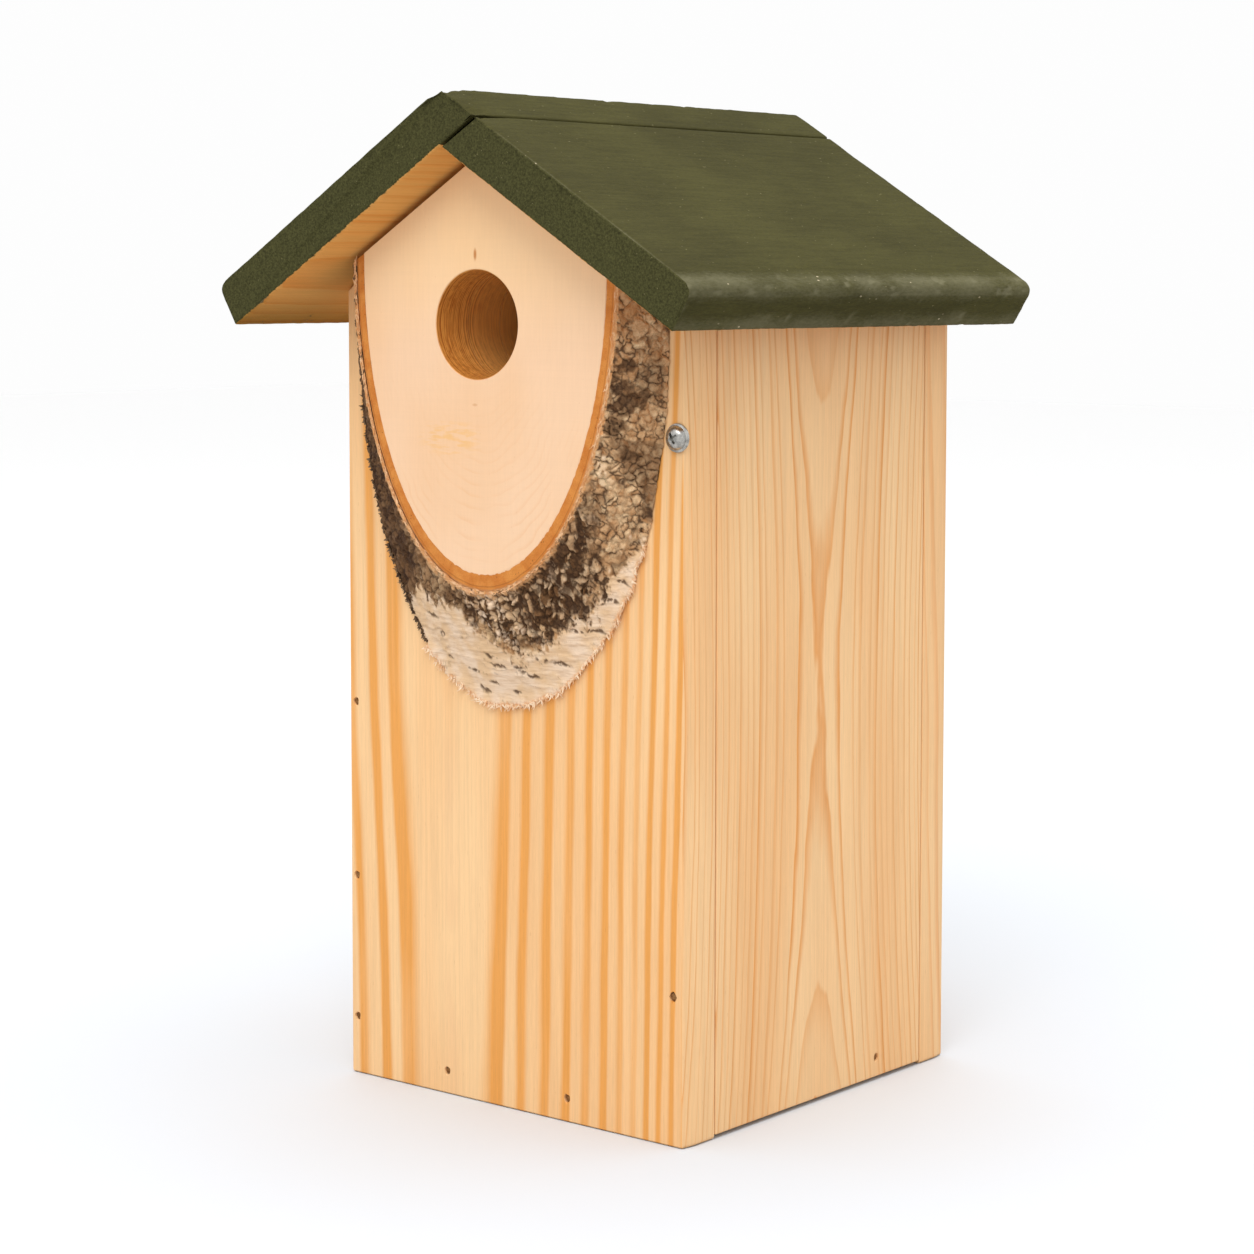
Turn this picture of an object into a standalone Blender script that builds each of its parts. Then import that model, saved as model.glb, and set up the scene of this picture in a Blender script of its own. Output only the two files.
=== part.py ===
"""Birdhouse: a pine box with a birch-slice entrance, a two-board roof and a side that swings open.

The front faces -Y, the opening side faces +X and +Z is up. The box stands on z = 0.
"""
import math

import bmesh
import bpy
from mathutils import Matrix, Vector

# ---- box ----------------------------------------------------------------------------------------
BOX_W = 0.135
BOX_D = 0.135
WALL_T = 0.014
FLOOR_T = 0.014
GAP = 0.0003
ARRIS_R = 0.004
FOOT_EASE = 0.0012

# ---- roof ---------------------------------------------------------------------------------------
ROOF_PITCH = math.radians(31.5)
ROOF_T = 0.0145
ROOF_APEX_Z = 0.2878
ROOF_SLOPE = 0.1005
ROOF_FRONT_Y = -0.0975
ROOF_BACK_Y = 0.0762
ROOF_JOINT = 0.0006
EAVE_R = 0.0036
EAVE_UNDER_R = 0.0008

# ---- birch slice --------------------------------------------------------------------------------
SLICE_T = 0.0140
SLICE_TOP_GAP = 0.0020
FACE_CENTRE = (0.0020, 0.2550)
FACE_SEMI = (0.0509, 0.0968)
FOOT_CENTRE = (0.0004, 0.2330)
FOOT_SEMI = (0.0612, 0.1096)
RING_T = (0.0031, 0.0050)
BARK_T_FACE = 0.0012
BARK_T_FOOT = 0.0042
LAYER_GAP = 0.0006
SLICE_STEPS = 44

# ---- entrance -----------------------------------------------------------------------------------
ENTRANCE_D = 0.0320
ENTRANCE_X = 0.0
ENTRANCE_Z = 0.2365
COLLAR_R = 0.0200
COLLAR_L = 0.0100

# ---- swinging side ------------------------------------------------------------------------------
DOOR_END_GAP = 0.0005
DOOR_TOP_GAP = 0.0010
DOOR_FOOT_Z = 0.0010
PIVOT_X = 0.0646
PIVOT_Z = 0.2050
PIVOT_SHANK_R = 0.0015
PIVOT_HOLE_R = 0.0018
PIVOT_LENGTH = 0.0360
PIVOT_SET = 0.0015

# ---- brads --------------------------------------------------------------------------------------
BRAD_R = 0.0008
BRAD_HEAD_R = 0.0011
BRAD_HEAD_T = 0.0009
BRAD_L = 0.0260
BRAD_SET = 0.0005
BRAD_EDGE_X = 0.0640
BRAD_EDGE_Z = (0.1180, 0.0630, 0.0180)
BRAD_FLOOR_X = (-0.0256, 0.0228)
BRAD_FLOOR_Z = 0.0070
STOP_PIN = (0.0630, 0.0439)
STOP_PIN_R = 0.0014
STOP_PIN_L = 0.0110
DOOR_BRAD = (0.0289, 0.0072)
DOOR_BRAD_L = 0.0110

# ---- screws that hold the slice -----------------------------------------------------------------
SLICE_SCREW_X = 0.0240
SLICE_SCREW_Z = 0.2020
SLICE_SCREW_R = 0.0016
SLICE_SCREW_HEAD_R = 0.0034
SCREW_RIM = 0.0003
SCREW_SET = 0.0001
SLICE_SCREW_L = 0.0235

# ---- hanger -------------------------------------------------------------------------------------
PLATE_W = 0.0220
PLATE_H = 0.0700
PLATE_T = 0.0020
PLATE_Z = 0.1950
PLATE_CORNER_R = 0.0060
PLATE_SCREW_OFFSET = 0.0270
KEYHOLE_R = 0.0048
KEYHOLE_SLOT_R = 0.0024
KEYHOLE_RISE = 0.0120
POCKET_R = 0.0070
POCKET_DEPTH = 0.0070
PLATE_SCREW_R = 0.0013
PLATE_SCREW_HEAD_R = 0.0028
PLATE_SCREW_L = 0.0110

HALF_W = BOX_W / 2
HALF_D = BOX_D / 2
INNER_W = HALF_W - WALL_T
INNER_D = HALF_D - WALL_T
SLOPE = math.tan(ROOF_PITCH)
FACE_Y = -HALF_D - SLICE_T
ROUND_SIDES = 20
BORE_SIDES = 56
SHARP_ANGLE = math.radians(34)

FINISHES = {
    "pine": ((0.800, 0.500, 0.235), 0.55, 0.0),
    "roof_stain": ((0.050, 0.060, 0.026), 0.72, 0.0),
    "birch_wood": ((0.840, 0.620, 0.400), 0.60, 0.0),
    "inner_bark": ((0.560, 0.240, 0.060), 0.75, 0.0),
    "birch_bark": ((0.300, 0.215, 0.150), 0.85, 0.0),
    "bright_screw": ((0.600, 0.590, 0.580), 0.28, 1.0),
    "brad_steel": ((0.300, 0.240, 0.180), 0.50, 1.0),
    "zinc_plate": ((0.520, 0.530, 0.540), 0.35, 1.0),
}


def clear_scene():
    for obj in list(bpy.data.objects):
        bpy.data.objects.remove(obj, do_unlink=True)


def finish(node, look):
    """One material per piece, made from a shared look."""
    colour, roughness, metallic = FINISHES[look]
    material = bpy.data.materials.new(node + "_" + look)
    material.use_nodes = True
    shader = material.node_tree.nodes["Principled BSDF"]
    shader.inputs["Base Color"].default_value = (*colour, 1.0)
    shader.inputs["Roughness"].default_value = roughness
    shader.inputs["Metallic"].default_value = metallic
    return material


def add_piece(name, bm, look, origin=(0.0, 0.0, 0.0), is_round=False):
    """Turn a bmesh drawn in world coordinates into an object with the given origin."""
    bmesh.ops.translate(bm, verts=bm.verts, vec=-Vector(origin))
    bmesh.ops.recalc_face_normals(bm, faces=bm.faces)
    mesh = bpy.data.meshes.new(name)
    bm.to_mesh(mesh)
    bm.free()
    if is_round:
        mesh.shade_smooth()
        mesh.set_sharp_from_angle(angle=SHARP_ANGLE)
    obj = bpy.data.objects.new(name, mesh)
    obj.location = origin
    bpy.context.scene.collection.objects.link(obj)
    if look is not None:
        mesh.materials.append(finish(name, look))
    return obj


def add_cutter(name, bm, target):
    """A guide body taken away from the target piece."""
    cutter = add_piece(name, bm, None)
    cutter.hide_render = True
    cutter.display_type = "WIRE"
    step = target.modifiers.new(name, "BOOLEAN")
    step.operation = "DIFFERENCE"
    step.solver = "EXACT"
    step.object = cutter


def prism(bm, outline, y_front, y_back):
    """A board: an outline of (x, z) points carried from one y to the other."""
    rings = [[bm.verts.new((x, y, z)) for x, z in outline] for y in (y_front, y_back)]
    bridge(bm, rings, closed=True)
    bm.faces.new(rings[0])
    bm.faces.new(list(reversed(rings[1])))
    return rings


def bridge(bm, rings, closed):
    """Quads between each ring of vertices and the next one."""
    count = len(rings[0])
    for near, far in zip(rings, rings[1:]):
        for i in range(count if closed else count - 1):
            j = (i + 1) % count
            bm.faces.new((near[i], far[i], far[j], near[j]))


def turned(bm, profile, place, sides=ROUND_SIDES):
    """A round body: (radius, height) points swept about local +Z, then placed.

    The first and the last point lie on the axis.
    """
    rings = []
    for radius, height in profile[1:-1]:
        ring = []
        for k in range(sides):
            angle = 2 * math.pi * (k + 0.5) / sides
            point = Vector((radius * math.cos(angle), radius * math.sin(angle), height))
            ring.append(bm.verts.new(place @ point))
        rings.append(ring)
    bridge(bm, rings, closed=True)
    for (_, height), ring in ((profile[0], rings[0]), (profile[-1], rings[-1])):
        tip = bm.verts.new(place @ Vector((0.0, 0.0, height)))
        for i in range(sides):
            bm.faces.new((tip, ring[i], ring[(i + 1) % sides]))


def rod(bm, start, end, radius, sides=ROUND_SIDES):
    """A plain cylinder between two points."""
    start = Vector(start)
    span = Vector(end) - start
    place = aim(start, span)
    length = span.length
    turned(bm, [(0.0, 0.0), (radius, 0.0), (radius, length), (0.0, length)], place, sides)


def aim(point, direction):
    """A matrix that takes local +Z to the direction and the local origin to the point."""
    turn = Vector((0.0, 0.0, 1.0)).rotation_difference(Vector(direction).normalized())
    return Matrix.Translation(point) @ turn.to_matrix().to_4x4()


def round_edges(bm, is_wanted, radius, segments):
    """Round every edge that passes the test."""
    edges = [edge for edge in bm.edges if is_wanted(*(vert.co for vert in edge.verts))]
    bmesh.ops.bevel(
        bm, geom=edges, offset=radius, segments=segments, profile=0.5, affect="EDGES", clamp_overlap=True
    )


def runs_at(axis_values):
    """A test for edges whose two ends share the given coordinates, as {axis: value}."""
    def test(a, b):
        return all(
            abs(a[axis] - value) < GAP / 3 and abs(b[axis] - value) < GAP / 3
            for axis, value in axis_values.items()
        )
    return test


def under_roof(x, gap):
    """Height of the roof's underside at x, less a gap square to the slope."""
    return ROOF_APEX_Z - SLOPE * abs(x) - gap / math.cos(ROOF_PITCH)


# ---- box boards ---------------------------------------------------------------------------------
def gable_board(name, y_outer, y_inner, look):
    """A front or back board with a pointed top and rounded outer arrises."""
    bm = bmesh.new()
    outline = [
        (-HALF_W, 0.0),
        (HALF_W, 0.0),
        (HALF_W, under_roof(HALF_W, GAP)),
        (0.0, under_roof(0.0, GAP)),
        (-HALF_W, under_roof(HALF_W, GAP)),
    ]
    prism(bm, outline, min(y_outer, y_inner), max(y_outer, y_inner))
    for x in (-HALF_W, HALF_W):
        round_edges(bm, runs_at({0: x, 1: y_outer}), ARRIS_R, 4)
    round_edges(bm, runs_at({1: y_outer, 2: 0.0}), FOOT_EASE, 1)
    return add_piece(name, bm, look, is_round=True)


def make_front_board():
    board = gable_board("front_board", -HALF_D, -INNER_D, "pine")
    holes = bmesh.new()
    through = (-HALF_D - ARRIS_R, -INNER_D + ARRIS_R)
    entrance = [(ENTRANCE_X, y, ENTRANCE_Z) for y in through]
    rod(holes, *entrance, ENTRANCE_D / 2, BORE_SIDES)
    rod(holes, *[(PIVOT_X, y, PIVOT_Z) for y in through], PIVOT_HOLE_R)
    for x, z in brad_spots():
        rod(holes, *[(x, y, z) for y in through], BRAD_HEAD_R + GAP)
    for x in (-SLICE_SCREW_X, SLICE_SCREW_X):
        face = (x, -INNER_D, SLICE_SCREW_Z)
        sunk_hole(holes, face, (0, -1, 0), SLICE_SCREW_HEAD_R, SLICE_SCREW_R, WALL_T + ARRIS_R)
    x, z = STOP_PIN
    rod(holes, (x, through[0], z), (x, -HALF_D + STOP_PIN_L + BRAD_SET + GAP, z), STOP_PIN_R + GAP)
    add_cutter("front_board_holes", holes, board)


def make_entrance_collar():
    """A turned ring behind the front board that makes the entrance a longer tunnel."""
    near = -INNER_D + GAP
    bm = bmesh.new()
    rod(bm, *[(ENTRANCE_X, y, ENTRANCE_Z) for y in (near, near + COLLAR_L)], COLLAR_R, BORE_SIDES)
    collar = add_piece("entrance_collar", bm, "pine", is_round=True)
    bore = bmesh.new()
    through = (near - ARRIS_R, near + COLLAR_L + ARRIS_R)
    rod(bore, *[(ENTRANCE_X, y, ENTRANCE_Z) for y in through], ENTRANCE_D / 2, BORE_SIDES)
    add_cutter("entrance_collar_bore", bore, collar)


def sunk_hole(holes, face, inward, head_r, shank_r, depth):
    """A countersunk hole with room round the screw; it opens past the face and ends at the depth."""
    wide, narrow = head_r + GAP, shank_r + GAP
    rim = ARRIS_R + SCREW_RIM
    end = ARRIS_R + depth
    profile = [(0.0, 0.0), (wide, 0.0), (wide, rim), (narrow, rim + wide - narrow), (narrow, end), (0.0, end)]
    mouth = Vector(face) - Vector(inward) * ARRIS_R
    turned(holes, profile, aim(mouth, inward))


def make_back_board():
    board = gable_board("back_board", HALF_D, INNER_D, "pine")
    holes = bmesh.new()
    through = (INNER_D - ARRIS_R, HALF_D + ARRIS_R)
    rod(holes, *[(PIVOT_X, y, PIVOT_Z) for y in through], PIVOT_HOLE_R)
    for x, z in brad_spots():
        rod(holes, *[(x, y, z) for y in through], BRAD_HEAD_R + GAP)
    rod(holes, (0.0, HALF_D - POCKET_DEPTH, PLATE_Z), (0.0, through[1], PLATE_Z), POCKET_R, BORE_SIDES // 2)
    for z in plate_screw_heights():
        rod(holes, (0.0, HALF_D - PLATE_SCREW_L, z), (0.0, through[1], z), PLATE_SCREW_R + GAP)
    add_cutter("back_board_holes", holes, board)


def brad_spots():
    """Where brads go through the front and back boards, as (x, z)."""
    edge = [(-BRAD_EDGE_X, z) for z in BRAD_EDGE_Z]
    foot = [(x, BRAD_FLOOR_Z) for x in BRAD_FLOOR_X]
    return edge + foot


def side_outline(side, foot_z, top_gap, inner_x):
    """A side board's outline: its top follows the roof's slope."""
    return [
        (side * inner_x, foot_z),
        (side * HALF_W, foot_z),
        (side * HALF_W, under_roof(HALF_W, top_gap)),
        (side * inner_x, under_roof(inner_x, top_gap)),
    ]


def make_left_side():
    bm = bmesh.new()
    prism(bm, side_outline(-1, 0.0, GAP, INNER_W), -INNER_D + GAP, INNER_D - GAP)
    side = add_piece("left_side", bm, "pine")
    holes = bmesh.new()
    for z in BRAD_EDGE_Z:
        for end in (-1, 1):
            brad_socket(holes, -BRAD_EDGE_X, z, end)
    add_cutter("left_side_holes", holes, side)


def make_floor():
    bm = bmesh.new()
    half_x = INNER_W - GAP
    outline = [(-half_x, 0.0), (half_x, 0.0), (half_x, FLOOR_T), (-half_x, FLOOR_T)]
    prism(bm, outline, -INNER_D + GAP, INNER_D - GAP)
    floor = add_piece("floor_board", bm, "pine")
    holes = bmesh.new()
    for x in BRAD_FLOOR_X:
        for end in (-1, 1):
            brad_socket(holes, x, BRAD_FLOOR_Z, end)
    add_cutter("floor_board_holes", holes, floor)


def brad_socket(holes, x, z, end):
    """The part of a brad's hole past the outer board; end is -1 at the front and 1 at the back."""
    tip = HALF_D - BRAD_SET - BRAD_L - 2 * GAP
    rod(holes, (x, end * tip, z), (x, end * HALF_D, z), BRAD_R + GAP, ROUND_SIDES // 2)


# ---- swinging side ------------------------------------------------------------------------------
def make_side_door():
    bm = bmesh.new()
    end = INNER_D - DOOR_END_GAP
    prism(bm, side_outline(1, DOOR_FOOT_Z, DOOR_TOP_GAP, INNER_W), -end, end)
    door = add_piece("side_door", bm, "pine", origin=(PIVOT_X, 0.0, PIVOT_Z))
    holes = bmesh.new()
    tip = HALF_D - PIVOT_LENGTH - GAP
    for side in (-1, 1):
        rod(holes, (PIVOT_X, side * tip, PIVOT_Z), (PIVOT_X, side * HALF_D, PIVOT_Z), PIVOT_HOLE_R)
    y, z = DOOR_BRAD
    brad_hole = (HALF_W - BRAD_SET - DOOR_BRAD_L - GAP, y, z)
    rod(holes, brad_hole, (HALF_W + ARRIS_R, y, z), BRAD_HEAD_R + GAP)
    add_cutter("side_door_holes", holes, door)


def pan_head(reach, radius, height):
    """A flanged dome head over a shank: (radius, height) points from tip to crown."""
    return [
        (0.0, -reach[0]),
        (reach[1] * 0.55, -reach[0] + 0.0008),
        (reach[1], -reach[0] + 0.0050),
        (reach[1], 0.0),
        (radius, 0.0),
        (radius, height * 0.20),
        (radius * 0.86, height * 0.32),
        (radius * 0.78, height * 0.62),
        (radius * 0.58, height * 0.86),
        (radius * 0.28, height * 0.98),
        (0.0, height),
    ]


def cross_recess(name, target, point, direction, size):
    """The driver's cross sunk into a screw's crown; size is (arm length, arm width, depth)."""
    bm = bmesh.new()
    arm, half, depth = size[0], size[1] / 2, size[2]
    plan = [
        (arm, -half), (arm, half), (half, half), (half, arm), (-half, arm), (-half, half),
        (-arm, half), (-arm, -half), (-half, -half), (-half, -arm), (half, -arm), (half, -half),
    ]
    place = aim(point, direction)
    rings = [[bm.verts.new(place @ Vector((x, y, z))) for x, y in plan] for z in (-depth, depth)]
    bridge(bm, rings, closed=True)
    bm.faces.new(rings[0])
    bm.faces.new(list(reversed(rings[1])))
    add_cutter(name + "_cross", bm, target)


def make_pivot_screws():
    """A pan-head screw at the front; at the back a headless one, set below the face."""
    crown = 0.0030
    seat = Vector((PIVOT_X, -HALF_D - GAP, PIVOT_Z))
    profile = pan_head((PIVOT_LENGTH, PIVOT_SHANK_R), 0.0042, crown)
    pivot_screw("pivot_screw_front", profile, seat, -1.0, crown, (0.0017, 0.0007, 0.0013))
    seat = Vector((PIVOT_X, HALF_D - PIVOT_SET, PIVOT_Z))
    reach = PIVOT_LENGTH - PIVOT_SET - GAP
    profile = [
        (0.0, -reach),
        (PIVOT_SHANK_R * 0.55, -reach + 0.0008),
        (PIVOT_SHANK_R, -reach + 0.0050),
        (PIVOT_SHANK_R, -0.0003),
        (PIVOT_SHANK_R - 0.0003, 0.0),
        (0.0, 0.0),
    ]
    pivot_screw("pivot_screw_back", profile, seat, 1.0, 0.0, (0.0010, 0.0005, 0.0010))


def pivot_screw(name, profile, seat, side, crown, recess):
    """One pivot screw along Y, its driver's cross at its outer end."""
    out = (0.0, side, 0.0)
    bm = bmesh.new()
    turned(bm, profile, aim(seat, out), 32)
    screw = add_piece(name, bm, "bright_screw", origin=seat, is_round=True)
    cross_recess(name, screw, seat + Vector(out) * crown, out, recess)


# ---- brads --------------------------------------------------------------------------------------
def brad(name, head, inward, length, radius, origin=(0.0, 0.0, 0.0)):
    """A small round-headed nail whose head is set just below the wood's face."""
    bm = bmesh.new()
    head_r = BRAD_HEAD_R * radius / BRAD_R
    profile = [
        (0.0, 0.0),
        (head_r * 0.8, 0.0),
        (head_r, BRAD_HEAD_T * 0.4),
        (head_r, BRAD_HEAD_T),
        (radius, BRAD_HEAD_T * 1.6),
        (radius, length - 2 * radius),
        (radius * 0.3, length - radius * 0.4),
        (0.0, length),
    ]
    turned(bm, profile, aim(head, inward), 12)
    add_piece(name, bm, "brad_steel", origin=origin, is_round=True)


def make_brads():
    for end, side in (("front", -1), ("back", 1)):
        y = side * (HALF_D - BRAD_SET)
        for number, z in enumerate(BRAD_EDGE_Z, start=1):
            brad("brad_%s_edge_%d" % (end, number), (-BRAD_EDGE_X, y, z), (0, -side, 0), BRAD_L, BRAD_R)
        for number, x in enumerate(BRAD_FLOOR_X, start=1):
            brad("brad_%s_foot_%d" % (end, number), (x, y, BRAD_FLOOR_Z), (0, -side, 0), BRAD_L, BRAD_R)
    x, z = STOP_PIN
    stop_scale = STOP_PIN_R * BRAD_R / BRAD_HEAD_R
    brad("stop_pin", (x, -HALF_D + BRAD_SET, z), (0, 1, 0), STOP_PIN_L, stop_scale)
    y, z = DOOR_BRAD
    hinge_line = (PIVOT_X, 0.0, PIVOT_Z)
    brad("brad_door_foot", (HALF_W - BRAD_SET, y, z), (-1, 0, 0), DOOR_BRAD_L, BRAD_R, hinge_line)


# ---- roof ---------------------------------------------------------------------------------------
def slope_point(side, along, up):
    """A point of a roof board: along the underside from the apex, then up through its thickness."""
    cosine, sine = math.cos(ROOF_PITCH), math.sin(ROOF_PITCH)
    return (side * (along * cosine + up * sine), ROOF_APEX_Z - along * sine + up * cosine)


def make_roof_boards():
    """The left board carries the ridge and the right one butts against its underside."""
    ridge = (0.0, ROOF_APEX_Z + ROOF_T / math.cos(ROOF_PITCH))
    lap = ROOF_T / math.sin(2 * ROOF_PITCH)
    lap_end = slope_point(-1, -lap, 0.0)
    left = [slope_point(-1, ROOF_SLOPE, 0.0), lap_end, ridge, slope_point(-1, ROOF_SLOPE, ROOF_T)]
    slide = ROOF_JOINT / math.sin(2 * ROOF_PITCH)
    top_start = lap * math.cos(2 * ROOF_PITCH)
    right = [
        slope_point(1, slide, 0.0),
        slope_point(1, ROOF_SLOPE, 0.0),
        slope_point(1, ROOF_SLOPE, ROOF_T),
        slope_point(1, slide + top_start, ROOF_T),
    ]
    for name, side, outline in (("roof_board_left", -1, left), ("roof_board_right", 1, right)):
        bm = bmesh.new()
        prism(bm, outline, ROOF_FRONT_Y, ROOF_BACK_Y)
        for up, radius, segments in ((ROOF_T, EAVE_R, 4), (0.0, EAVE_UNDER_R, 1)):
            x, z = slope_point(side, ROOF_SLOPE, up)
            round_edges(bm, runs_at({0: x, 2: z}), radius, segments)
        add_piece(name, bm, "roof_stain", is_round=True)


# ---- birch slice --------------------------------------------------------------------------------
def slice_path(centre, semi, gable_gap):
    """The slice's outline below the roof: an oval from the left slope, round its foot, to the right."""
    def above_roof(angle):
        x = centre[0] + semi[0] * math.cos(angle)
        z = centre[1] + semi[1] * math.sin(angle)
        return z > under_roof(x, gable_gap)

    ends = []
    for low, high in ((math.pi * 1.5, math.pi * 0.6), (-math.pi * 0.5, math.pi * 0.4)):
        for _ in range(50):
            middle = (low + high) / 2
            if above_roof(middle):
                high = middle
            else:
                low = middle
        ends.append(low)
    start, stop = ends[0], ends[1] + 2 * math.pi
    path = []
    for k in range(SLICE_STEPS + 1):
        angle = start + (stop - start) * k / SLICE_STEPS
        path.append((centre[0] + semi[0] * math.cos(angle), centre[1] + semi[1] * math.sin(angle)))
    return path


def layer_path(inset_face, inset_foot):
    """Outlines of one layer of the slice at its face and at the board, each moved in by (x, z)."""
    face_semi = [semi - inset for semi, inset in zip(FACE_SEMI, inset_face)]
    foot_semi = [semi - inset for semi, inset in zip(FOOT_SEMI, inset_foot)]
    face = slice_path(FACE_CENTRE, face_semi, SLICE_TOP_GAP)
    foot = slice_path(FOOT_CENTRE, foot_semi, SLICE_TOP_GAP)
    return face, foot


def even(inset):
    """The same inset in x and in z."""
    return (inset, inset)


def loft_layer(name, outer, inner, look):
    """A slice layer between an outer outline and an inner one, or out to the gable's peak if none."""
    bm = bmesh.new()
    rings = []
    for y, index in ((FACE_Y, 0), (-HALF_D - GAP, 1)):
        if inner is None:
            outline = outer[index] + [(0.0, under_roof(0.0, SLICE_TOP_GAP))]
        else:
            outline = outer[index] + list(reversed(inner[index]))
        rings.append([bm.verts.new((x, y, z)) for x, z in outline])
    bridge(bm, rings, closed=True)
    for ring in rings:
        cap_ring(bm, ring, inner is not None)
    return add_piece(name, bm, look, is_round=True)


def cap_ring(bm, ring, is_band):
    """Close one end of a layer: strips of quads on a band, one face on a full slice."""
    if not is_band:
        bm.faces.new(ring)
        return
    last = len(ring) - 1
    for i in range(len(ring) // 2 - 1):
        bm.faces.new((ring[i], ring[i + 1], ring[last - i - 1], ring[last - i]))


def make_slice():
    foot_ring = [BARK_T_FOOT + thickness for thickness in RING_T]
    bark_inner = layer_path(even(-LAYER_GAP), even(BARK_T_FOOT - LAYER_GAP))
    bark_outer = layer_path(even(-BARK_T_FACE), even(0.0))
    loft_layer("slice_bark", bark_outer, bark_inner, "birch_bark")
    ring_outer = layer_path(even(0.0), even(BARK_T_FOOT))
    loft_layer("slice_inner_bark", ring_outer, layer_path(RING_T, foot_ring), "inner_bark")
    wood_face = [thickness + LAYER_GAP for thickness in RING_T]
    wood_foot = [inset + LAYER_GAP for inset in foot_ring]
    wood = loft_layer("slice_wood", layer_path(wood_face, wood_foot), None, "birch_wood")
    holes = bmesh.new()
    entrance = [(ENTRANCE_X, y, ENTRANCE_Z) for y in (FACE_Y - ARRIS_R, -HALF_D + ARRIS_R)]
    rod(holes, *entrance, ENTRANCE_D / 2, BORE_SIDES)
    for x in (-SLICE_SCREW_X, SLICE_SCREW_X):
        tip_y = -INNER_D - SLICE_SCREW_L - 2 * GAP
        rod(holes, (x, tip_y, SLICE_SCREW_Z), (x, -HALF_D + ARRIS_R, SLICE_SCREW_Z), SLICE_SCREW_R + GAP)
    add_cutter("slice_wood_holes", holes, wood)


def sunk_screw(name, face, inward, size, recess):
    """A countersunk screw flush with a face; size is (head radius, shank radius, length)."""
    head, shank, length = size
    profile = [
        (0.0, 0.0),
        (head, 0.0),
        (head, SCREW_RIM),
        (shank, head - shank + SCREW_RIM),
        (shank, length - 0.0030),
        (shank * 0.4, length - 0.0006),
        (0.0, length),
    ]
    bm = bmesh.new()
    turned(bm, profile, aim(face, inward))
    screw = add_piece(name, bm, "bright_screw", origin=face, is_round=True)
    cross_recess(name, screw, face, -Vector(inward), recess)


def make_slice_screws():
    """Screws from inside the box, through the front board and into the slice."""
    size = (SLICE_SCREW_HEAD_R, SLICE_SCREW_R, SLICE_SCREW_L)
    for name, x in (("slice_screw_left", -SLICE_SCREW_X), ("slice_screw_right", SLICE_SCREW_X)):
        sunk_screw(name, (x, -INNER_D, SLICE_SCREW_Z), (0, -1, 0), size, (0.0018, 0.0008, 0.0012))


# ---- hanger -------------------------------------------------------------------------------------
def plate_screw_heights():
    return [PLATE_Z - PLATE_SCREW_OFFSET, PLATE_Z + PLATE_SCREW_OFFSET]


def make_hanger():
    """A keyhole plate on the back board, with a pocket behind the keyhole for a nail's head."""
    bm = bmesh.new()
    half_w, half_h = PLATE_W / 2, PLATE_H / 2
    low, high = PLATE_Z - half_h, PLATE_Z + half_h
    outline = [(-half_w, low), (half_w, low), (half_w, high), (-half_w, high)]
    prism(bm, outline, HALF_D + GAP, HALF_D + GAP + PLATE_T)
    for x in (-half_w, half_w):
        for z in (low, high):
            round_edges(bm, runs_at({0: x, 2: z}), PLATE_CORNER_R, 5)
    plate = add_piece("hanger_plate", bm, "zinc_plate", is_round=True)
    span = (HALF_D - PLATE_T, HALF_D + 3 * PLATE_T)
    for z in plate_screw_heights():
        hole = bmesh.new()
        face = (0.0, HALF_D + GAP + PLATE_T, z)
        sunk_hole(hole, face, (0, -1, 0), PLATE_SCREW_HEAD_R, PLATE_SCREW_R, 2 * PLATE_T)
        add_cutter("hanger_plate_hole_%d" % round(z * 1000), hole, plate)
    mouth = bmesh.new()
    rod(mouth, (0.0, span[0], PLATE_Z), (0.0, span[1], PLATE_Z), KEYHOLE_R, 28)
    add_cutter("hanger_plate_keyhole", mouth, plate)
    slot = bmesh.new()
    prism(slot, slot_outline(), *span)
    add_cutter("hanger_plate_slot", slot, plate)


def slot_outline():
    """The keyhole's narrow slot, with a round upper end."""
    top = PLATE_Z + KEYHOLE_RISE
    outline = [(-KEYHOLE_SLOT_R, PLATE_Z), (KEYHOLE_SLOT_R, PLATE_Z)]
    for k in range(13):
        angle = math.pi * k / 12
        outline.append((KEYHOLE_SLOT_R * math.cos(angle), top + KEYHOLE_SLOT_R * math.sin(angle)))
    return outline


def make_hanger_screws():
    size = (PLATE_SCREW_HEAD_R, PLATE_SCREW_R, PLATE_SCREW_L + PLATE_T)
    for name, z in zip(("hanger_screw_lower", "hanger_screw_upper"), plate_screw_heights()):
        face = (0.0, HALF_D + PLATE_T + GAP - SCREW_SET, z)
        sunk_screw(name, face, (0, -1, 0), size, (0.0015, 0.0006, 0.0009))


def main():
    clear_scene()
    make_front_board()
    make_entrance_collar()
    make_back_board()
    make_left_side()
    make_floor()
    make_side_door()
    make_pivot_screws()
    make_brads()
    make_roof_boards()
    make_slice()
    make_slice_screws()
    make_hanger()
    make_hanger_screws()


main()
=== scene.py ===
"""Looks of the birdhouse: pine boards, a stained roof, a birch slice in its bark, and small metal parts.

The front faces -Y, the swinging side faces +X and +Z is up. Lengths are metres unless a name says mm.
"""

import functools
import math

import bmesh
import bpy
import numpy as np
from mathutils import Matrix, Vector


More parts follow.
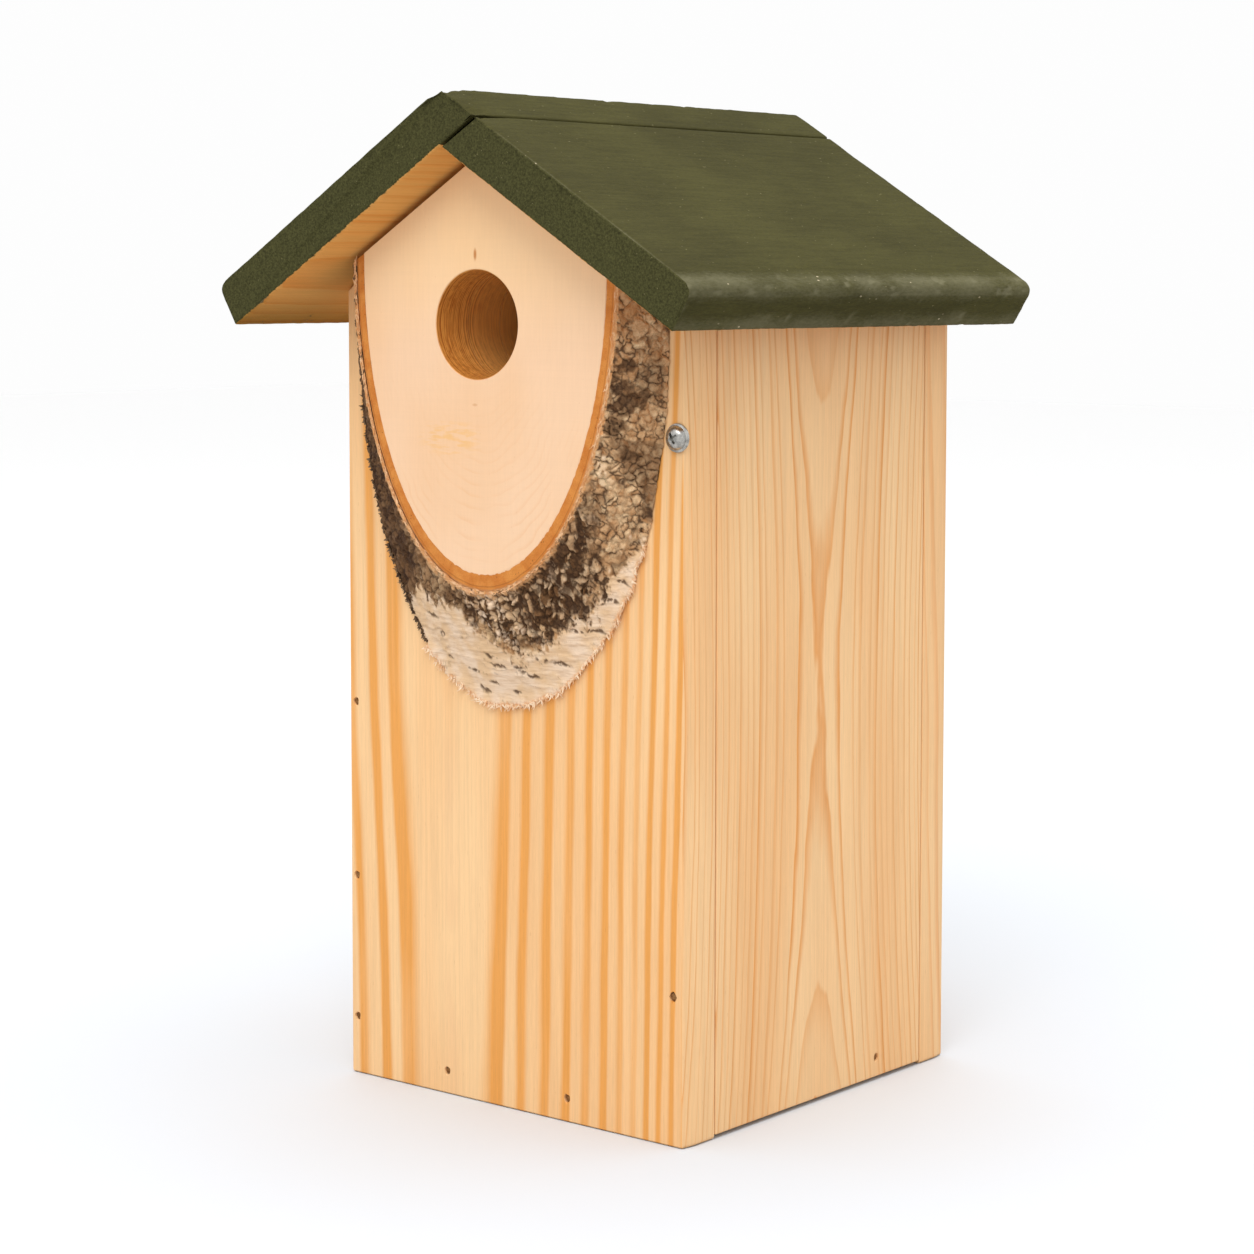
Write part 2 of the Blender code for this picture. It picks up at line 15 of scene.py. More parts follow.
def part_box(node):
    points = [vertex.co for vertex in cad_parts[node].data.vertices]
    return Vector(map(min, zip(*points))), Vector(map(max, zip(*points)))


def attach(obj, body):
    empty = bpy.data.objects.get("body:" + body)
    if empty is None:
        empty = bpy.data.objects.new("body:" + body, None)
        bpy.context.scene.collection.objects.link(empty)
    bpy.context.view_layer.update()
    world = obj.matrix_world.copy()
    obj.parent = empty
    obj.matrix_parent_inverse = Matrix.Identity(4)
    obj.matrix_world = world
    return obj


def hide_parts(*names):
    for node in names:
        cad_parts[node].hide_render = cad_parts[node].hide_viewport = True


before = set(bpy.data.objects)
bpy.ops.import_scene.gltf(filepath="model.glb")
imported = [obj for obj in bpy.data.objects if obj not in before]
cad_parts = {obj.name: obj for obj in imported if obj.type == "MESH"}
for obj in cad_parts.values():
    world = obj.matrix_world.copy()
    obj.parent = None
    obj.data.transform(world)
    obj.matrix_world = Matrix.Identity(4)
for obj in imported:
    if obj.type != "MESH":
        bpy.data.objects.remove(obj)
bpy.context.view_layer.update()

FIXED = "birdhouse"
SWINGING = "swinging_side"
MM = 0.001

# ---- camera and light ---------------------------------------------------------------------------
EYE = Vector((0.58132, -0.71893, 0.24957))
EYE_TURN = math.radians(39.23)
EYE_TILT = math.radians(4.31)
EYE_ROLL = math.radians(0.07)
LENS = 84.40
SENSOR = 36.0
SHIFT = (-0.00814, -0.10)
SKY_STRENGTH = 0.985
SOFTBOXES = (
    # place, size, watts
    ((0.45, -0.95, 1.35), 0.90, 9.0),
    ((0.00, 0.10, 1.60), 1.40, 9.0),
)
FLOOR_SIZE = 9.0
FLOOR_NEAR = (0.695, 0.725, 0.765, 1.0)
FLOOR_FAR = (0.99, 0.99, 0.99, 1.0)
FLOOR_BOUNCE = (0.50, 0.50, 0.50, 1.0)

# ---- sizes the looks share with the frame -------------------------------------------------------
ROOF_APEX_Z = 0.2878
ROOF_PITCH = math.radians(31.5)
ROOF_T = 0.0145
ROOF_SLOPE = 0.1005
ROOF_JOINT = 0.0003
EAVE_R = 0.0036
ENTRANCE_Z = 0.2365
ENTRANCE_R = 0.0160
PIVOT_HOLE_R = 0.0018
PIVOT_SHANK_R = 0.0015
PAN_HEIGHT = 0.0030
BRAD_HOLE_R = 0.0011
HANGER_SCREW_HOLE_R = 0.0016
SLICE_SCREW_HOLE_R = 0.0019
POCKET_R = 0.0070
POCKET_DEPTH = 0.0070
KEYHOLE_R = 0.0048
KEYHOLE_SLOT_R = 0.0024
KEYHOLE_RISE = 0.0120
FACE_CENTRE_Z = 0.2550
FOOT_CENTRE_Z = 0.2330
FACE_CENTRE_X = 0.0020
FACE_SEMI = (0.0509, 0.0968)
RING_WIDTH = (0.0031, 0.0050)
BARK_ON_FACE = 0.0012
BARK_ON_BOARD = 0.0042
SLICE_ROOF_GAP = 0.0020
BARREL_GAP = 0.00006
ARRIS = 0.0040
LIP = 0.0005
BOARD_GAP = 0.0003

bark_low, bark_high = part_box("slice_bark")
FACE_Y = bark_low.y
FOOT_Y = bark_high.y
FOOT_CENTRE_X = (bark_low.x + bark_high.x) / 2
FOOT_SEMI = ((bark_high.x - bark_low.x) / 2, FOOT_CENTRE_Z - bark_low.z)

ROUND = 64
BORE_SIDES = 128
CREASE = 35


# ---- steady randomness --------------------------------------------------------------------------
def scramble(cells, seed):
    """A steady value from 0 to 1 for each row of whole numbers."""
    primes = np.array([73856093, 19349663, 83492791], np.int64)[: cells.shape[-1]]
    mixed = (cells.astype(np.int64) * primes).sum(-1) + seed * 9176423
    mixed = (mixed ^ (mixed >> 13)) * 1274126177
    mixed = mixed & 0xFFFFFFFF
    mixed = ((mixed ^ (mixed >> 15)) * 2246822519) & 0xFFFFFFFF
    mixed = mixed ^ (mixed >> 16)
    return (mixed & 0xFFFFFF) / float(0x1000000)


def soft_noise(points, scale, seed, octaves=1):
    """Smooth noise from 0 to 1 at points of any number of dimensions."""
    total, weight, sum_weight = 0.0, 1.0, 0.0
    for octave in range(octaves):
        place = points * scale * 2**octave
        cell = np.floor(place)
        part = place - cell
        part = part * part * (3 - 2 * part)
        value = np.zeros(points.shape[0])
        for corner in np.ndindex(*(2,) * points.shape[1]):
            step = np.array(corner)
            share = np.prod(np.where(step == 1, part, 1 - part), axis=1)
            value += share * scramble(cell + step, seed + octave)
        total = total + weight * value
        sum_weight += weight
        weight *= 0.5
    return total / sum_weight


def cells(points, seed):
    """Distance to the nearest cell centre, to the next one, and the nearest one's own value."""
    home = np.floor(points)
    size = points.shape[1]
    best = np.full(len(points), 9.0)
    second = np.full(len(points), 9.0)
    value = np.zeros(len(points))
    for step in np.ndindex(*(3,) * size):
        cell = home + np.array(step) - 1
        centre = cell + np.stack([scramble(cell, seed + k) for k in range(size)], 1) * 0.9 + 0.05
        away = np.linalg.norm(points - centre, axis=1)
        nearer = away < best
        second = np.where(nearer, best, np.minimum(second, away))
        value = np.where(nearer, scramble(cell, seed + 7), value)
        best = np.where(nearer, away, best)
    return best, second, value


def rise(value, low, high):
    """0 below low, 1 above high and smooth in between."""
    part = np.clip((value - low) / (high - low), 0, 1)
    return part * part * (3 - 2 * part)


# ---- meshes -------------------------------------------------------------------------------------
def solid_mesh(name, verts, faces):
    """A mesh whose faces all point outward, linked to the scene."""
    mesh = bpy.data.meshes.new(name)
    mesh.from_pydata([tuple(v) for v in verts], [], faces)
    work = bmesh.new()
    work.from_mesh(mesh)
    bmesh.ops.recalc_face_normals(work, faces=work.faces)
    work.to_mesh(mesh)
    work.free()
    item = bpy.data.objects.new(name, mesh)
    bpy.context.scene.collection.objects.link(item)
    return item


def soften(piece, crease):
    """Smooth shading that stays sharp where faces meet at more than the crease angle."""
    piece.data.shade_smooth()
    piece.data.set_sharp_from_angle(angle=math.radians(crease))


def new_piece(name, verts, faces, body, crease=CREASE):
    """A piece of the object, riding on its body."""
    piece = solid_mesh(name, verts, faces)
    soften(piece, crease)
    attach(piece, body)
    return piece


def loft(rings):
    """Verts and faces of a closed body through rings with equal counts."""
    count = len(rings[0])
    verts = [p for ring in rings for p in ring]
    faces = []
    for k in range(len(rings) - 1):
        for i in range(count):
            j = (i + 1) % count
            faces.append((k * count + i, (k + 1) * count + i, (k + 1) * count + j, k * count + j))
    last = (len(rings) - 1) * count
    faces.append(tuple(range(count)))
    faces.append(tuple(last + i for i in reversed(range(count))))
    return verts, faces


def arc_corner(before, corner, after, radius, steps):
    """Points of a round corner between two straight runs."""
    into = (before - corner) / np.linalg.norm(before - corner)
    out = (after - corner) / np.linalg.norm(after - corner)
    half = math.acos(np.clip(into @ out, -1, 1)) / 2
    reach = radius / math.tan(half)
    bisector = (into + out) / np.linalg.norm(into + out)
    centre = corner + bisector * radius / math.sin(half)
    start, stop = corner + into * reach - centre, corner + out * reach - centre
    sweep = math.pi - 2 * half
    points = []
    for k in range(steps + 1):
        t = k / steps
        low, high = math.sin((1 - t) * sweep), math.sin(t * sweep)
        points.append(centre + (start * low + stop * high) / math.sin(sweep))
    return points


def soft_outline(corners, radii, step):
    """A closed outline with rounded corners and points along its straight runs."""
    corners = [np.array(c, float) for c in corners]
    count = len(corners)
    arcs = []
    for i, corner in enumerate(corners):
        steps = max(3, int(radii[i] / MM * 2) + 2)
        arcs.append(arc_corner(corners[i - 1], corner, corners[(i + 1) % count], radii[i], steps))
    points = []
    for i, arc in enumerate(arcs):
        points += arc
        start, stop = arc[-1], arcs[(i + 1) % count][0]
        pieces = max(1, int(np.linalg.norm(stop - start) / step))
        points += [start + (stop - start) * k / pieces for k in range(1, pieces)]
    return np.array(points)


def rectangle(low, high):
    """The corners of a box seen from the front."""
    return [(low.x, low.z), (high.x, low.z), (high.x, high.z), (low.x, high.z)]


def outward(outline):
    """Unit normals of a closed outline, pointing out."""
    along = np.roll(outline, -1, 0) - np.roll(outline, 1, 0)
    area = np.sum(outline[:, 0] * np.roll(outline[:, 1], -1) - np.roll(outline[:, 0], -1) * outline[:, 1])
    normal = np.stack([along[:, 1], -along[:, 0]], 1) * np.sign(area)
    return normal / np.linalg.norm(normal, axis=1)[:, None]


def board_rings(outline, low, high, lip, step):
    """Rings of a board from y = low to y = high, with softened end arrises."""
    normal = outward(outline)
    stations = []
    for k in range(5):
        turn = math.pi / 2 * k / 4
        stations.append((low + lip * (1 - math.cos(turn)), lip * (1 - math.sin(turn))))
    mirrored = [(low + high - y, inset) for y, inset in reversed(stations)]
    pieces = max(1, int((high - low - 2 * lip) / step))
    between = [(low + lip + (high - low - 2 * lip) * k / pieces, 0.0) for k in range(1, pieces)]
    rings = []
    for y, inset in stations + between + mirrored:
        flat = outline - normal * inset
        rings.append(np.stack([flat[:, 0], np.full(len(flat), y), flat[:, 1]], 1))
    return rings


def drill(piece, start, stop, radius, lip=0.0, sides=ROUND, far_lip=None):
    """Cut a round hole; a lip eases its rim where it starts, and where it stops."""
    start, stop = Vector(start), Vector(stop)
    span = stop - start
    place = aim(start, span)
    length = span.length
    over = 2 * MM
    end_lip = lip if far_lip is None else far_lip
    profile = [(radius + lip, -over), (radius + lip, 0.0), (radius, lip)] if lip else [(radius, -over)]
    if end_lip:
        wide = radius + end_lip
        profile += [(radius, length - end_lip), (wide, length), (wide, length + over)]
    else:
        profile.append((radius, length + over))
    carve(piece, *turned(profile, place, sides))


def carve(piece, verts, faces):
    """Take a solid away from a piece."""
    cutter = solid_mesh("cut", verts, faces)
    mesh = cutter.data
    step = piece.modifiers.new("cut", "BOOLEAN")
    step.operation = "DIFFERENCE"
    step.solver = "EXACT"
    step.object = cutter
    graph = bpy.context.evaluated_depsgraph_get()
    result = bpy.data.meshes.new_from_object(piece.evaluated_get(graph))
    piece.modifiers.clear()
    old = piece.data
    piece.data = result
    result.name = old.name
    bpy.data.meshes.remove(old)
    bpy.data.objects.remove(cutter)
    bpy.data.meshes.remove(mesh)


def crisp(piece, crease=CREASE):
    """Smooth shading up to a crease, with the broad flat faces kept flat."""
    soften(piece, crease)
    flat = piece.modifiers.new("flat_faces", "WEIGHTED_NORMAL")
    flat.keep_sharp = True
    flat.weight = 100


def aim(point, direction):
    """A matrix that takes local +Z to the direction and the local origin to the point."""
    turn = Vector((0.0, 0.0, 1.0)).rotation_difference(Vector(direction).normalized())
    return Matrix.Translation(point) @ turn.to_matrix().to_4x4()


def turned(profile, place, sides=ROUND):
    """Verts and faces of a round body from (radius, height) points about local +Z."""
    rings = []
    for radius, height in profile:
        ring = []
        for k in range(sides):
            angle = 2 * math.pi * (k + 0.5) / sides
            ring.append(place @ Vector((radius * math.cos(angle), radius * math.sin(angle), height)))
        rings.append(ring)
    return loft(rings)


def paint_points(piece, name, values):
    """Store a value or a colour on every vertex."""
    values = np.asarray(values, np.float32)
    if values.ndim == 1:
        piece.data.attributes.new(name, "FLOAT", "POINT").data.foreach_set("value", values)
    else:
        piece.data.attributes.new(name, "FLOAT_COLOR", "POINT").data.foreach_set("color", values.ravel())


def vertex_normals(piece):
    """Where each vertex is, and its normal."""
    count = len(piece.data.vertices)
    place = np.zeros(count * 3)
    normal = np.zeros(count * 3)
    piece.data.vertices.foreach_get("co", place)
    piece.data.vertices.foreach_get("normal", normal)
    return place.reshape(-1, 3), normal.reshape(-1, 3)


def set_points(piece, points):
    piece.data.vertices.foreach_set("co", points.astype(np.float32).ravel())
    piece.data.update()


# ---- shader nodes -------------------------------------------------------------------------------
def tint(red, green, blue):
    """A colour given as it is seen, 0 to 255, as the linear values that shaders use."""
    seen = [c / 255 for c in (red, green, blue)]
    return tuple(c / 12.92 if c <= 0.04045 else ((c + 0.055) / 1.055) ** 2.4 for c in seen) + (1.0,)


class Nodes:
    """Short calls that add nodes to one shader tree."""

    def __init__(self, tree):
        self.tree = tree

    def add(self, kind, values=(), **settings):
        node = self.tree.nodes.new(kind)
        for key, value in settings.items():
            setattr(node, key, value)
        for key, value in dict(values).items():
            if isinstance(value, bpy.types.NodeSocket):
                self.tree.links.new(value, node.inputs[key])
            else:
                node.inputs[key].default_value = value
        return node

    def calc(self, operation, *values, clamp=False):
        return self.add("ShaderNodeMath", enumerate(values), operation=operation, use_clamp=clamp).outputs[0]

    def times(self, *values, clamp=False):
        """The product of two or more values."""
        return functools.reduce(lambda a, b: self.calc("MULTIPLY", a, b, clamp=clamp), values)

    def plus(self, *values):
        """The sum of two or more values."""
        return functools.reduce(lambda a, b: self.calc("ADD", a, b), values)

    def minus(self, first, second):
        return self.calc("SUBTRACT", first, second)

    def reach(self, first, second):
        """The length of the hypotenuse over two values."""
        return self.calc("SQRT", self.plus(self.times(first, first), self.times(second, second)))

    def split(self, vector):
        return self.add("ShaderNodeSeparateXYZ", {0: vector}).outputs

    def join(self, *parts):
        return self.add("ShaderNodeCombineXYZ", enumerate(parts)).outputs[0]

    def line_noise(self, value, scale, detail, rough=0.5):
        """Noise along one value."""
        values = {"W": value, "Scale": scale, "Detail": detail, "Roughness": rough}
        return self.add("ShaderNodeTexNoise", values, noise_dimensions="1D").outputs["Fac"]

    def dots(self, vector, factors, low, high):
        """1 in small dots, one for each cell, and 0 between them."""
        return self.rise(self.grain_cells(vector, factors), low, high, 1.0, 0.0)

    def shade(self, colour, lift):
        """The colour made lighter or darker by a value near 1."""
        grey = self.add("ShaderNodeCombineColor", {0: lift, 1: lift, 2: lift}).outputs[0]
        return self.mix(1.0, colour, grey, "MULTIPLY")

    def rise(self, value, low, high, start=0.0, stop=1.0, smooth=True):
        """The value taken from low..high to start..stop."""
        shape = "SMOOTHSTEP" if smooth else "LINEAR"
        ends = {"Value": value, "From Min": low, "From Max": high, "To Min": start, "To Max": stop}
        return self.add("ShaderNodeMapRange", ends, interpolation_type=shape).outputs[0]

    def mix(self, share, first, second, blend="MIX"):
        values = {0: share, 6: first, 7: second}
        return self.add("ShaderNodeMix", values, data_type="RGBA", blend_type=blend).outputs[2]

    def stretch(self, vector, factors):
        return self.add("ShaderNodeVectorMath", {0: vector, 1: factors}, operation="MULTIPLY").outputs[0]

    def noise(self, vector, factors, detail=2.0, rough=0.5):
        """Noise from 0 to 1, with its own scale along each axis."""
        values = {"Vector": self.stretch(vector, factors), "Scale": 1.0, "Detail": detail, "Roughness": rough}
        return self.add("ShaderNodeTexNoise", values).outputs["Fac"]

    def grain_cells(self, vector, factors, output="Distance"):
        values = {"Vector": self.stretch(vector, factors), "Scale": 1.0}
        return self.add("ShaderNodeTexVoronoi", values).outputs[output]

    def group(self, group, values):
        return self.add("ShaderNodeGroup", values, node_tree=group)


def start_group(name, inputs, outputs):
    """A node group with named sockets: its tree, its inputs, and its output node."""
    tree = bpy.data.node_groups.new(name, "ShaderNodeTree")
    for label, value in inputs.items():
        kind = "NodeSocketFloat" if isinstance(value, float) else (
            "NodeSocketColor" if len(value) == 4 else "NodeSocketVector"
        )
        socket = tree.interface.new_socket(label, in_out="INPUT", socket_type=kind)
        socket.default_value = value
    for label, kind in outputs.items():
        tree.interface.new_socket(label, in_out="OUTPUT", socket_type="NodeSocket" + kind)
    nodes = Nodes(tree)
    return nodes, nodes.add("NodeGroupInput").outputs, nodes.add("NodeGroupOutput").inputs


def send(nodes, sockets, values):
    """Link node outputs to a group's named outputs."""
    for label, value in values.items():
        nodes.tree.links.new(value, sockets[label])


def start_material(name, plain):
    """A material, its nodes, its shader and the place on the object; plain values are set on the shader."""
    material = bpy.data.materials.new(name)
    material.use_nodes = True
    nodes = Nodes(material.node_tree)
    shader = material.node_tree.nodes["Principled BSDF"]
    for key, value in plain.items():
        shader.inputs[key].default_value = value
    place = nodes.add("ShaderNodeTexCoord").outputs["Object"]
    return material, nodes, shader, place


def relief(nodes, shader, height, depth):
    """Feed the shader's normal from a height that varies from 0 to 1 over the given depth."""
    bump = nodes.add("ShaderNodeBump", {"Strength": 1.0, "Distance": depth, "Height": height})
    nodes.tree.links.new(bump.outputs[0], shader.inputs["Normal"])


def feed(nodes, shader, values):
    """Link node outputs to the shader's own sockets."""
    for key, value in values.items():
        nodes.tree.links.new(value, shader.inputs[key])


# ---- pine ---------------------------------------------------------------------------------------
MIDDLE_HEIGHT = 125.0  # mm, where a bowed figure turns back


def make_pine_group():
    """Growth rings of a softwood board. The place is (across, depth, along) the board."""
    inputs = {
        "Place": (0.0, 0.0, 0.0), "Pith Across": 0.0, "Pith Depth": 30.0, "Ring Width": 4.0,
        "Crowding": 0.0, "Taper": 0.02, "Wander": 4.0, "Late Start": 0.4, "Late Strength": 1.0,
        "Ring Seed": 0.0, "Heart Stain": 0.0, "Bow": 0.0, "Line Color": (0.81, 0.305, 0.065, 1.0),
        "Uneven": 0.9, "Ring Shift": 0.0, "Heart Gap": 0.0, "Late Peak": 0.94, "Late Hold": 0.94,
    }
    outputs = {"Color": "Color", "Roughness": "Float", "Height": "Float"}
    nodes, given, sink = start_group("pine_growth_rings", inputs, outputs)
    times, plus, minus, rise_to = nodes.times, nodes.plus, nodes.minus, nodes.rise
    place = nodes.stretch(given["Place"], (1 / MM,) * 3)
    axes = nodes.split(place)
    shifted = nodes.add("ShaderNodeVectorMath", {0: place, 1: (31.0, 57.0, 11.0)}, operation="ADD").outputs[0]

    def sway(vector, factors, size, detail=1.0):
        return times(minus(nodes.noise(vector, factors, detail), 0.5), size)

    across = plus(minus(axes[0], given["Pith Across"]), sway(place, (0.02, 0.02, 0.007), given["Wander"]))
    depth = plus(axes[1], given["Pith Depth"], sway(shifted, (0.02, 0.02, 0.006), given["Wander"]))
    reach = nodes.reach(across, depth)
    reach = minus(reach, times(given["Taper"], axes[2]))
    from_middle = minus(axes[2], MIDDLE_HEIGHT)
    reach = plus(reach, times(given["Bow"], times(from_middle, from_middle)))
    reach = plus(reach, sway(place, (0.16, 0.16, 0.03), 0.9, 2.0))
    crowd = plus(1.0, times(given["Crowding"], reach))
    rings = times(nodes.calc("DIVIDE", reach, given["Ring Width"]), crowd)
    rings = plus(rings, times(nodes.line_noise(rings, 0.9, 1.0), given["Uneven"]))
    at_heart = rise_to(minus(reach, given["Pith Depth"]), -2.0, 4.0, 1.0, 0.0)
    rings = minus(plus(rings, given["Ring Shift"]), times(at_heart, given["Heart Gap"]))
    number = plus(nodes.calc("FLOOR", rings), given["Ring Seed"])
    part = nodes.calc("FRACT", rings)
    own = nodes.add("ShaderNodeTexWhiteNoise", {"W": number}, noise_dimensions="1D").outputs["Value"]
    strength = times(rise_to(own, 0.0, 1.0, 0.42, 1.1, smooth=False), given["Late Strength"])
    fade = rise_to(nodes.noise(shifted, (0.10, 0.10, 0.010), 2.0), 0.3, 0.7, 0.62, 1.1)
    climb = nodes.calc("POWER", rise_to(part, given["Late Start"], given["Late Peak"], smooth=False), 1.5)
    edge = rise_to(part, given["Late Hold"], 1.0, 1.0, 0.0)
    late = times(times(climb, edge), times(strength, fade), clamp=True)

    tone = nodes.noise(place, (0.035, 0.035, 0.006), 2.0)
    streak = nodes.noise(place, (1.1, 1.1, 0.02), 3.0, 0.6)
    fibre = nodes.noise(place, (6.0, 6.0, 0.16), 3.0, 0.65)
    duct = nodes.dots(place, (1.3, 1.3, 0.14), 0.05, 0.13)
    sparse = rise_to(nodes.noise(shifted, (0.35, 0.35, 0.05), 1.0), 0.52, 0.6)
    duct = times(duct, sparse)

    pale = nodes.mix(rise_to(tone, 0.3, 0.7), tint(249, 207, 154), tint(244, 193, 136))
    wood = nodes.mix(late, pale, given["Line Color"])
    shade = plus(rise_to(streak, 0.3, 0.7, -0.045, 0.045), rise_to(fibre, 0.25, 0.75, -0.05, 0.05))
    lift = plus(1.0, shade)
    wood = nodes.shade(wood, lift)
    wood = nodes.mix(times(duct, 0.28), wood, tint(176, 108, 52))
    near = rise_to(nodes.calc("ABSOLUTE", across), 0.0, 5.5, 1.0, 0.0)
    cloud = rise_to(nodes.noise(shifted, (0.10, 0.10, 0.030), 2.0), 0.40, 0.62)
    stain = times(near, cloud, given["Heart Stain"])
    wood = nodes.mix(stain, wood, tint(206, 140, 102))
    rough = rise_to(fibre, 0.2, 0.8, 0.50, 0.66)
    height = plus(times(late, 0.45), times(fibre, 0.5))
    send(nodes, sink, {"Color": wood, "Roughness": rough, "Height": height})
    return nodes.tree


def pine(name, order, values, bored=False, edge=None):
    """A pine finish for one board; order says which object axes run across, into and along it."""
    material, nodes, shader, place = start_material(name, {"Specular IOR Level": 0.35})
    axes = nodes.split(place)
    turned_place = nodes.join(*[axes[axis] for axis in order])
    figure = nodes.group(PINE, {"Place": turned_place, **values}).outputs
    colour = figure["Color"]
    if edge:
        edge_place = nodes.join(axes[1], axes[0], axes[2])
        quarter = nodes.group(PINE, {"Place": edge_place, **edge}).outputs["Color"]
        facing = nodes.add("ShaderNodeTexCoord").outputs["Normal"]
        sideways = nodes.calc("ABSOLUTE", nodes.split(facing)[0])
        colour = nodes.mix(nodes.rise(sideways, 0.55, 0.80), colour, quarter)
    if bored:
        bore = nodes.group(BORE, {"Place": nodes.stretch(place, (1 / MM,) * 3)}).outputs
        colour = nodes.mix(bore["Inside"], colour, bore["Color"])
    feed(nodes, shader, {"Base Color": colour, "Roughness": figure["Roughness"]})
    relief(nodes, shader, figure["Height"], 0.00010)
    return material


# ---- roof ---------------------------------------------------------------------------------------
def make_stain_group():
    """An old green stain brushed on wood: mottled, specked, thin on worn arrises, bare underneath."""
    inputs = {"Place": (0.0, 0.0, 0.0), "Wear": 0.0, "Facing": (0.0, 0.0, 1.0)}
    outputs = {"Color": "Color", "Roughness": "Float", "Height": "Float", "Bare": "Float"}
    nodes, given, sink = start_group("brushed_stain", inputs, outputs)
    times, plus, minus, rise_to = nodes.times, nodes.plus, nodes.minus, nodes.rise
    place = nodes.stretch(given["Place"], (1 / MM,) * 3)
    axes = nodes.split(place)
    facing = nodes.split(given["Facing"])
    end = rise_to(nodes.calc("ABSOLUTE", facing[1]), 0.5, 0.8)
    cloud = nodes.noise(place, (0.03, 0.018, 0.03), 3.0)
    brush = nodes.noise(place, (0.9, 0.06, 0.9), 3.0, 0.6)
    fine = nodes.noise(place, (4.0, 0.5, 4.0), 3.0, 0.7)
    blotch = nodes.noise(place, (1.5, 1.5, 1.5), 3.0, 0.75)
    colour = nodes.mix(rise_to(cloud, 0.3, 0.7), tint(73, 70, 38), tint(64, 61, 33))
    colour = nodes.mix(times(end, 0.8), colour, tint(69, 68, 40))
    drift = plus(rise_to(brush, 0.3, 0.7, -0.09, 0.09), rise_to(fine, 0.3, 0.7, -0.17, 0.20))
    soak = rise_to(blotch, 0.32, 0.68, -0.34, 0.34)
    lift = plus(1.0, plus(drift, times(end, soak)))
    colour = nodes.shade(colour, lift)
    dots = nodes.dots(place, (0.55, 0.22, 0.55), 0.05, 0.11)
    some = rise_to(nodes.noise(place, (0.21, 0.21, 0.21), 2.0), 0.42, 0.58)
    dots = times(dots, some)
    colour = nodes.mix(times(dots, 0.42), colour, tint(168, 158, 118))
    wear = times(given["Wear"], minus(1.0, times(end, 0.9)))
    worn = rise_to(plus(wear, times(nodes.noise(place, (1.2, 0.5, 1.2), 3.0, 0.65), 0.5)), 0.45, 1.25)
    colour = nodes.mix(times(worn, 0.8), colour, tint(118, 114, 88))
    chips = nodes.dots(place, (0.30, 0.16, 0.30), 0.06, 0.10)
    chips = times(chips, rise_to(wear, 0.25, 0.6))
    chips = times(chips, rise_to(nodes.noise(place, (0.11, 0.11, 0.11), 1.0), 0.48, 0.55))
    colour = nodes.mix(times(chips, 0.8), colour, tint(216, 200, 166))
    cosine, sine = math.cos(ROOF_PITCH), math.sin(ROOF_PITCH)
    apex = minus(axes[2], ROOF_APEX_Z / MM)
    above = plus(times(apex, cosine), times(nodes.calc("ABSOLUTE", axes[0]), sine))
    ragged = times(nodes.noise(place, (0.8, 0.5, 0.8), 3.0, 0.65), 0.9)
    bare = rise_to(minus(above, ragged), -0.12, 0.10, 1.0, 0.0)
    rough = rise_to(fine, 0.2, 0.8, 0.74, 0.90)
    height = plus(times(fine, 0.5), times(brush, 0.5))
    send(nodes, sink, {"Color": colour, "Roughness": rough, "Height": height, "Bare": bare})
    return nodes.tree


def stained(name, values):
    """The finish of one roof board: stain over pine whose grain runs along the eaves, with painted shade on
    the bare underside towards the eave.
    """
    material, nodes, shader, place = start_material(name, {"Specular IOR Level": 0.06})
    axes = nodes.split(place)
    turned_place = nodes.join(axes[0], axes[2], axes[1])
    wood = nodes.group(PINE, {"Place": turned_place, **values}).outputs
    facing = nodes.add("ShaderNodeTexCoord").outputs["Normal"]
    wear = nodes.add("ShaderNodeAttribute", attribute_name="wear").outputs["Fac"]
    stain = nodes.group(STAIN, {"Place": place, "Wear": wear, "Facing": facing}).outputs
    shaded = nodes.mix(1.0, wood["Color"], tint(232, 214, 168), "MULTIPLY")
    # Painted shade: the bare underside is darkened towards the eave, where the eave and the wall shade it.
    outward_mm = nodes.times(nodes.calc("ABSOLUTE", axes[0]), 1 / MM)
    painted_eave_shade = nodes.rise(outward_mm, 66.0, 88.0)
    shaded = nodes.mix(painted_eave_shade, shaded, nodes.mix(1.0, shaded, tint(166, 160, 116), "MULTIPLY"))
    colour = nodes.mix(stain["Bare"], stain["Color"], shaded)
    feed(nodes, shader, {"Base Color": colour, "Roughness": stain["Roughness"]})
    relief(nodes, shader, stain["Height"], 0.00022)
    return material


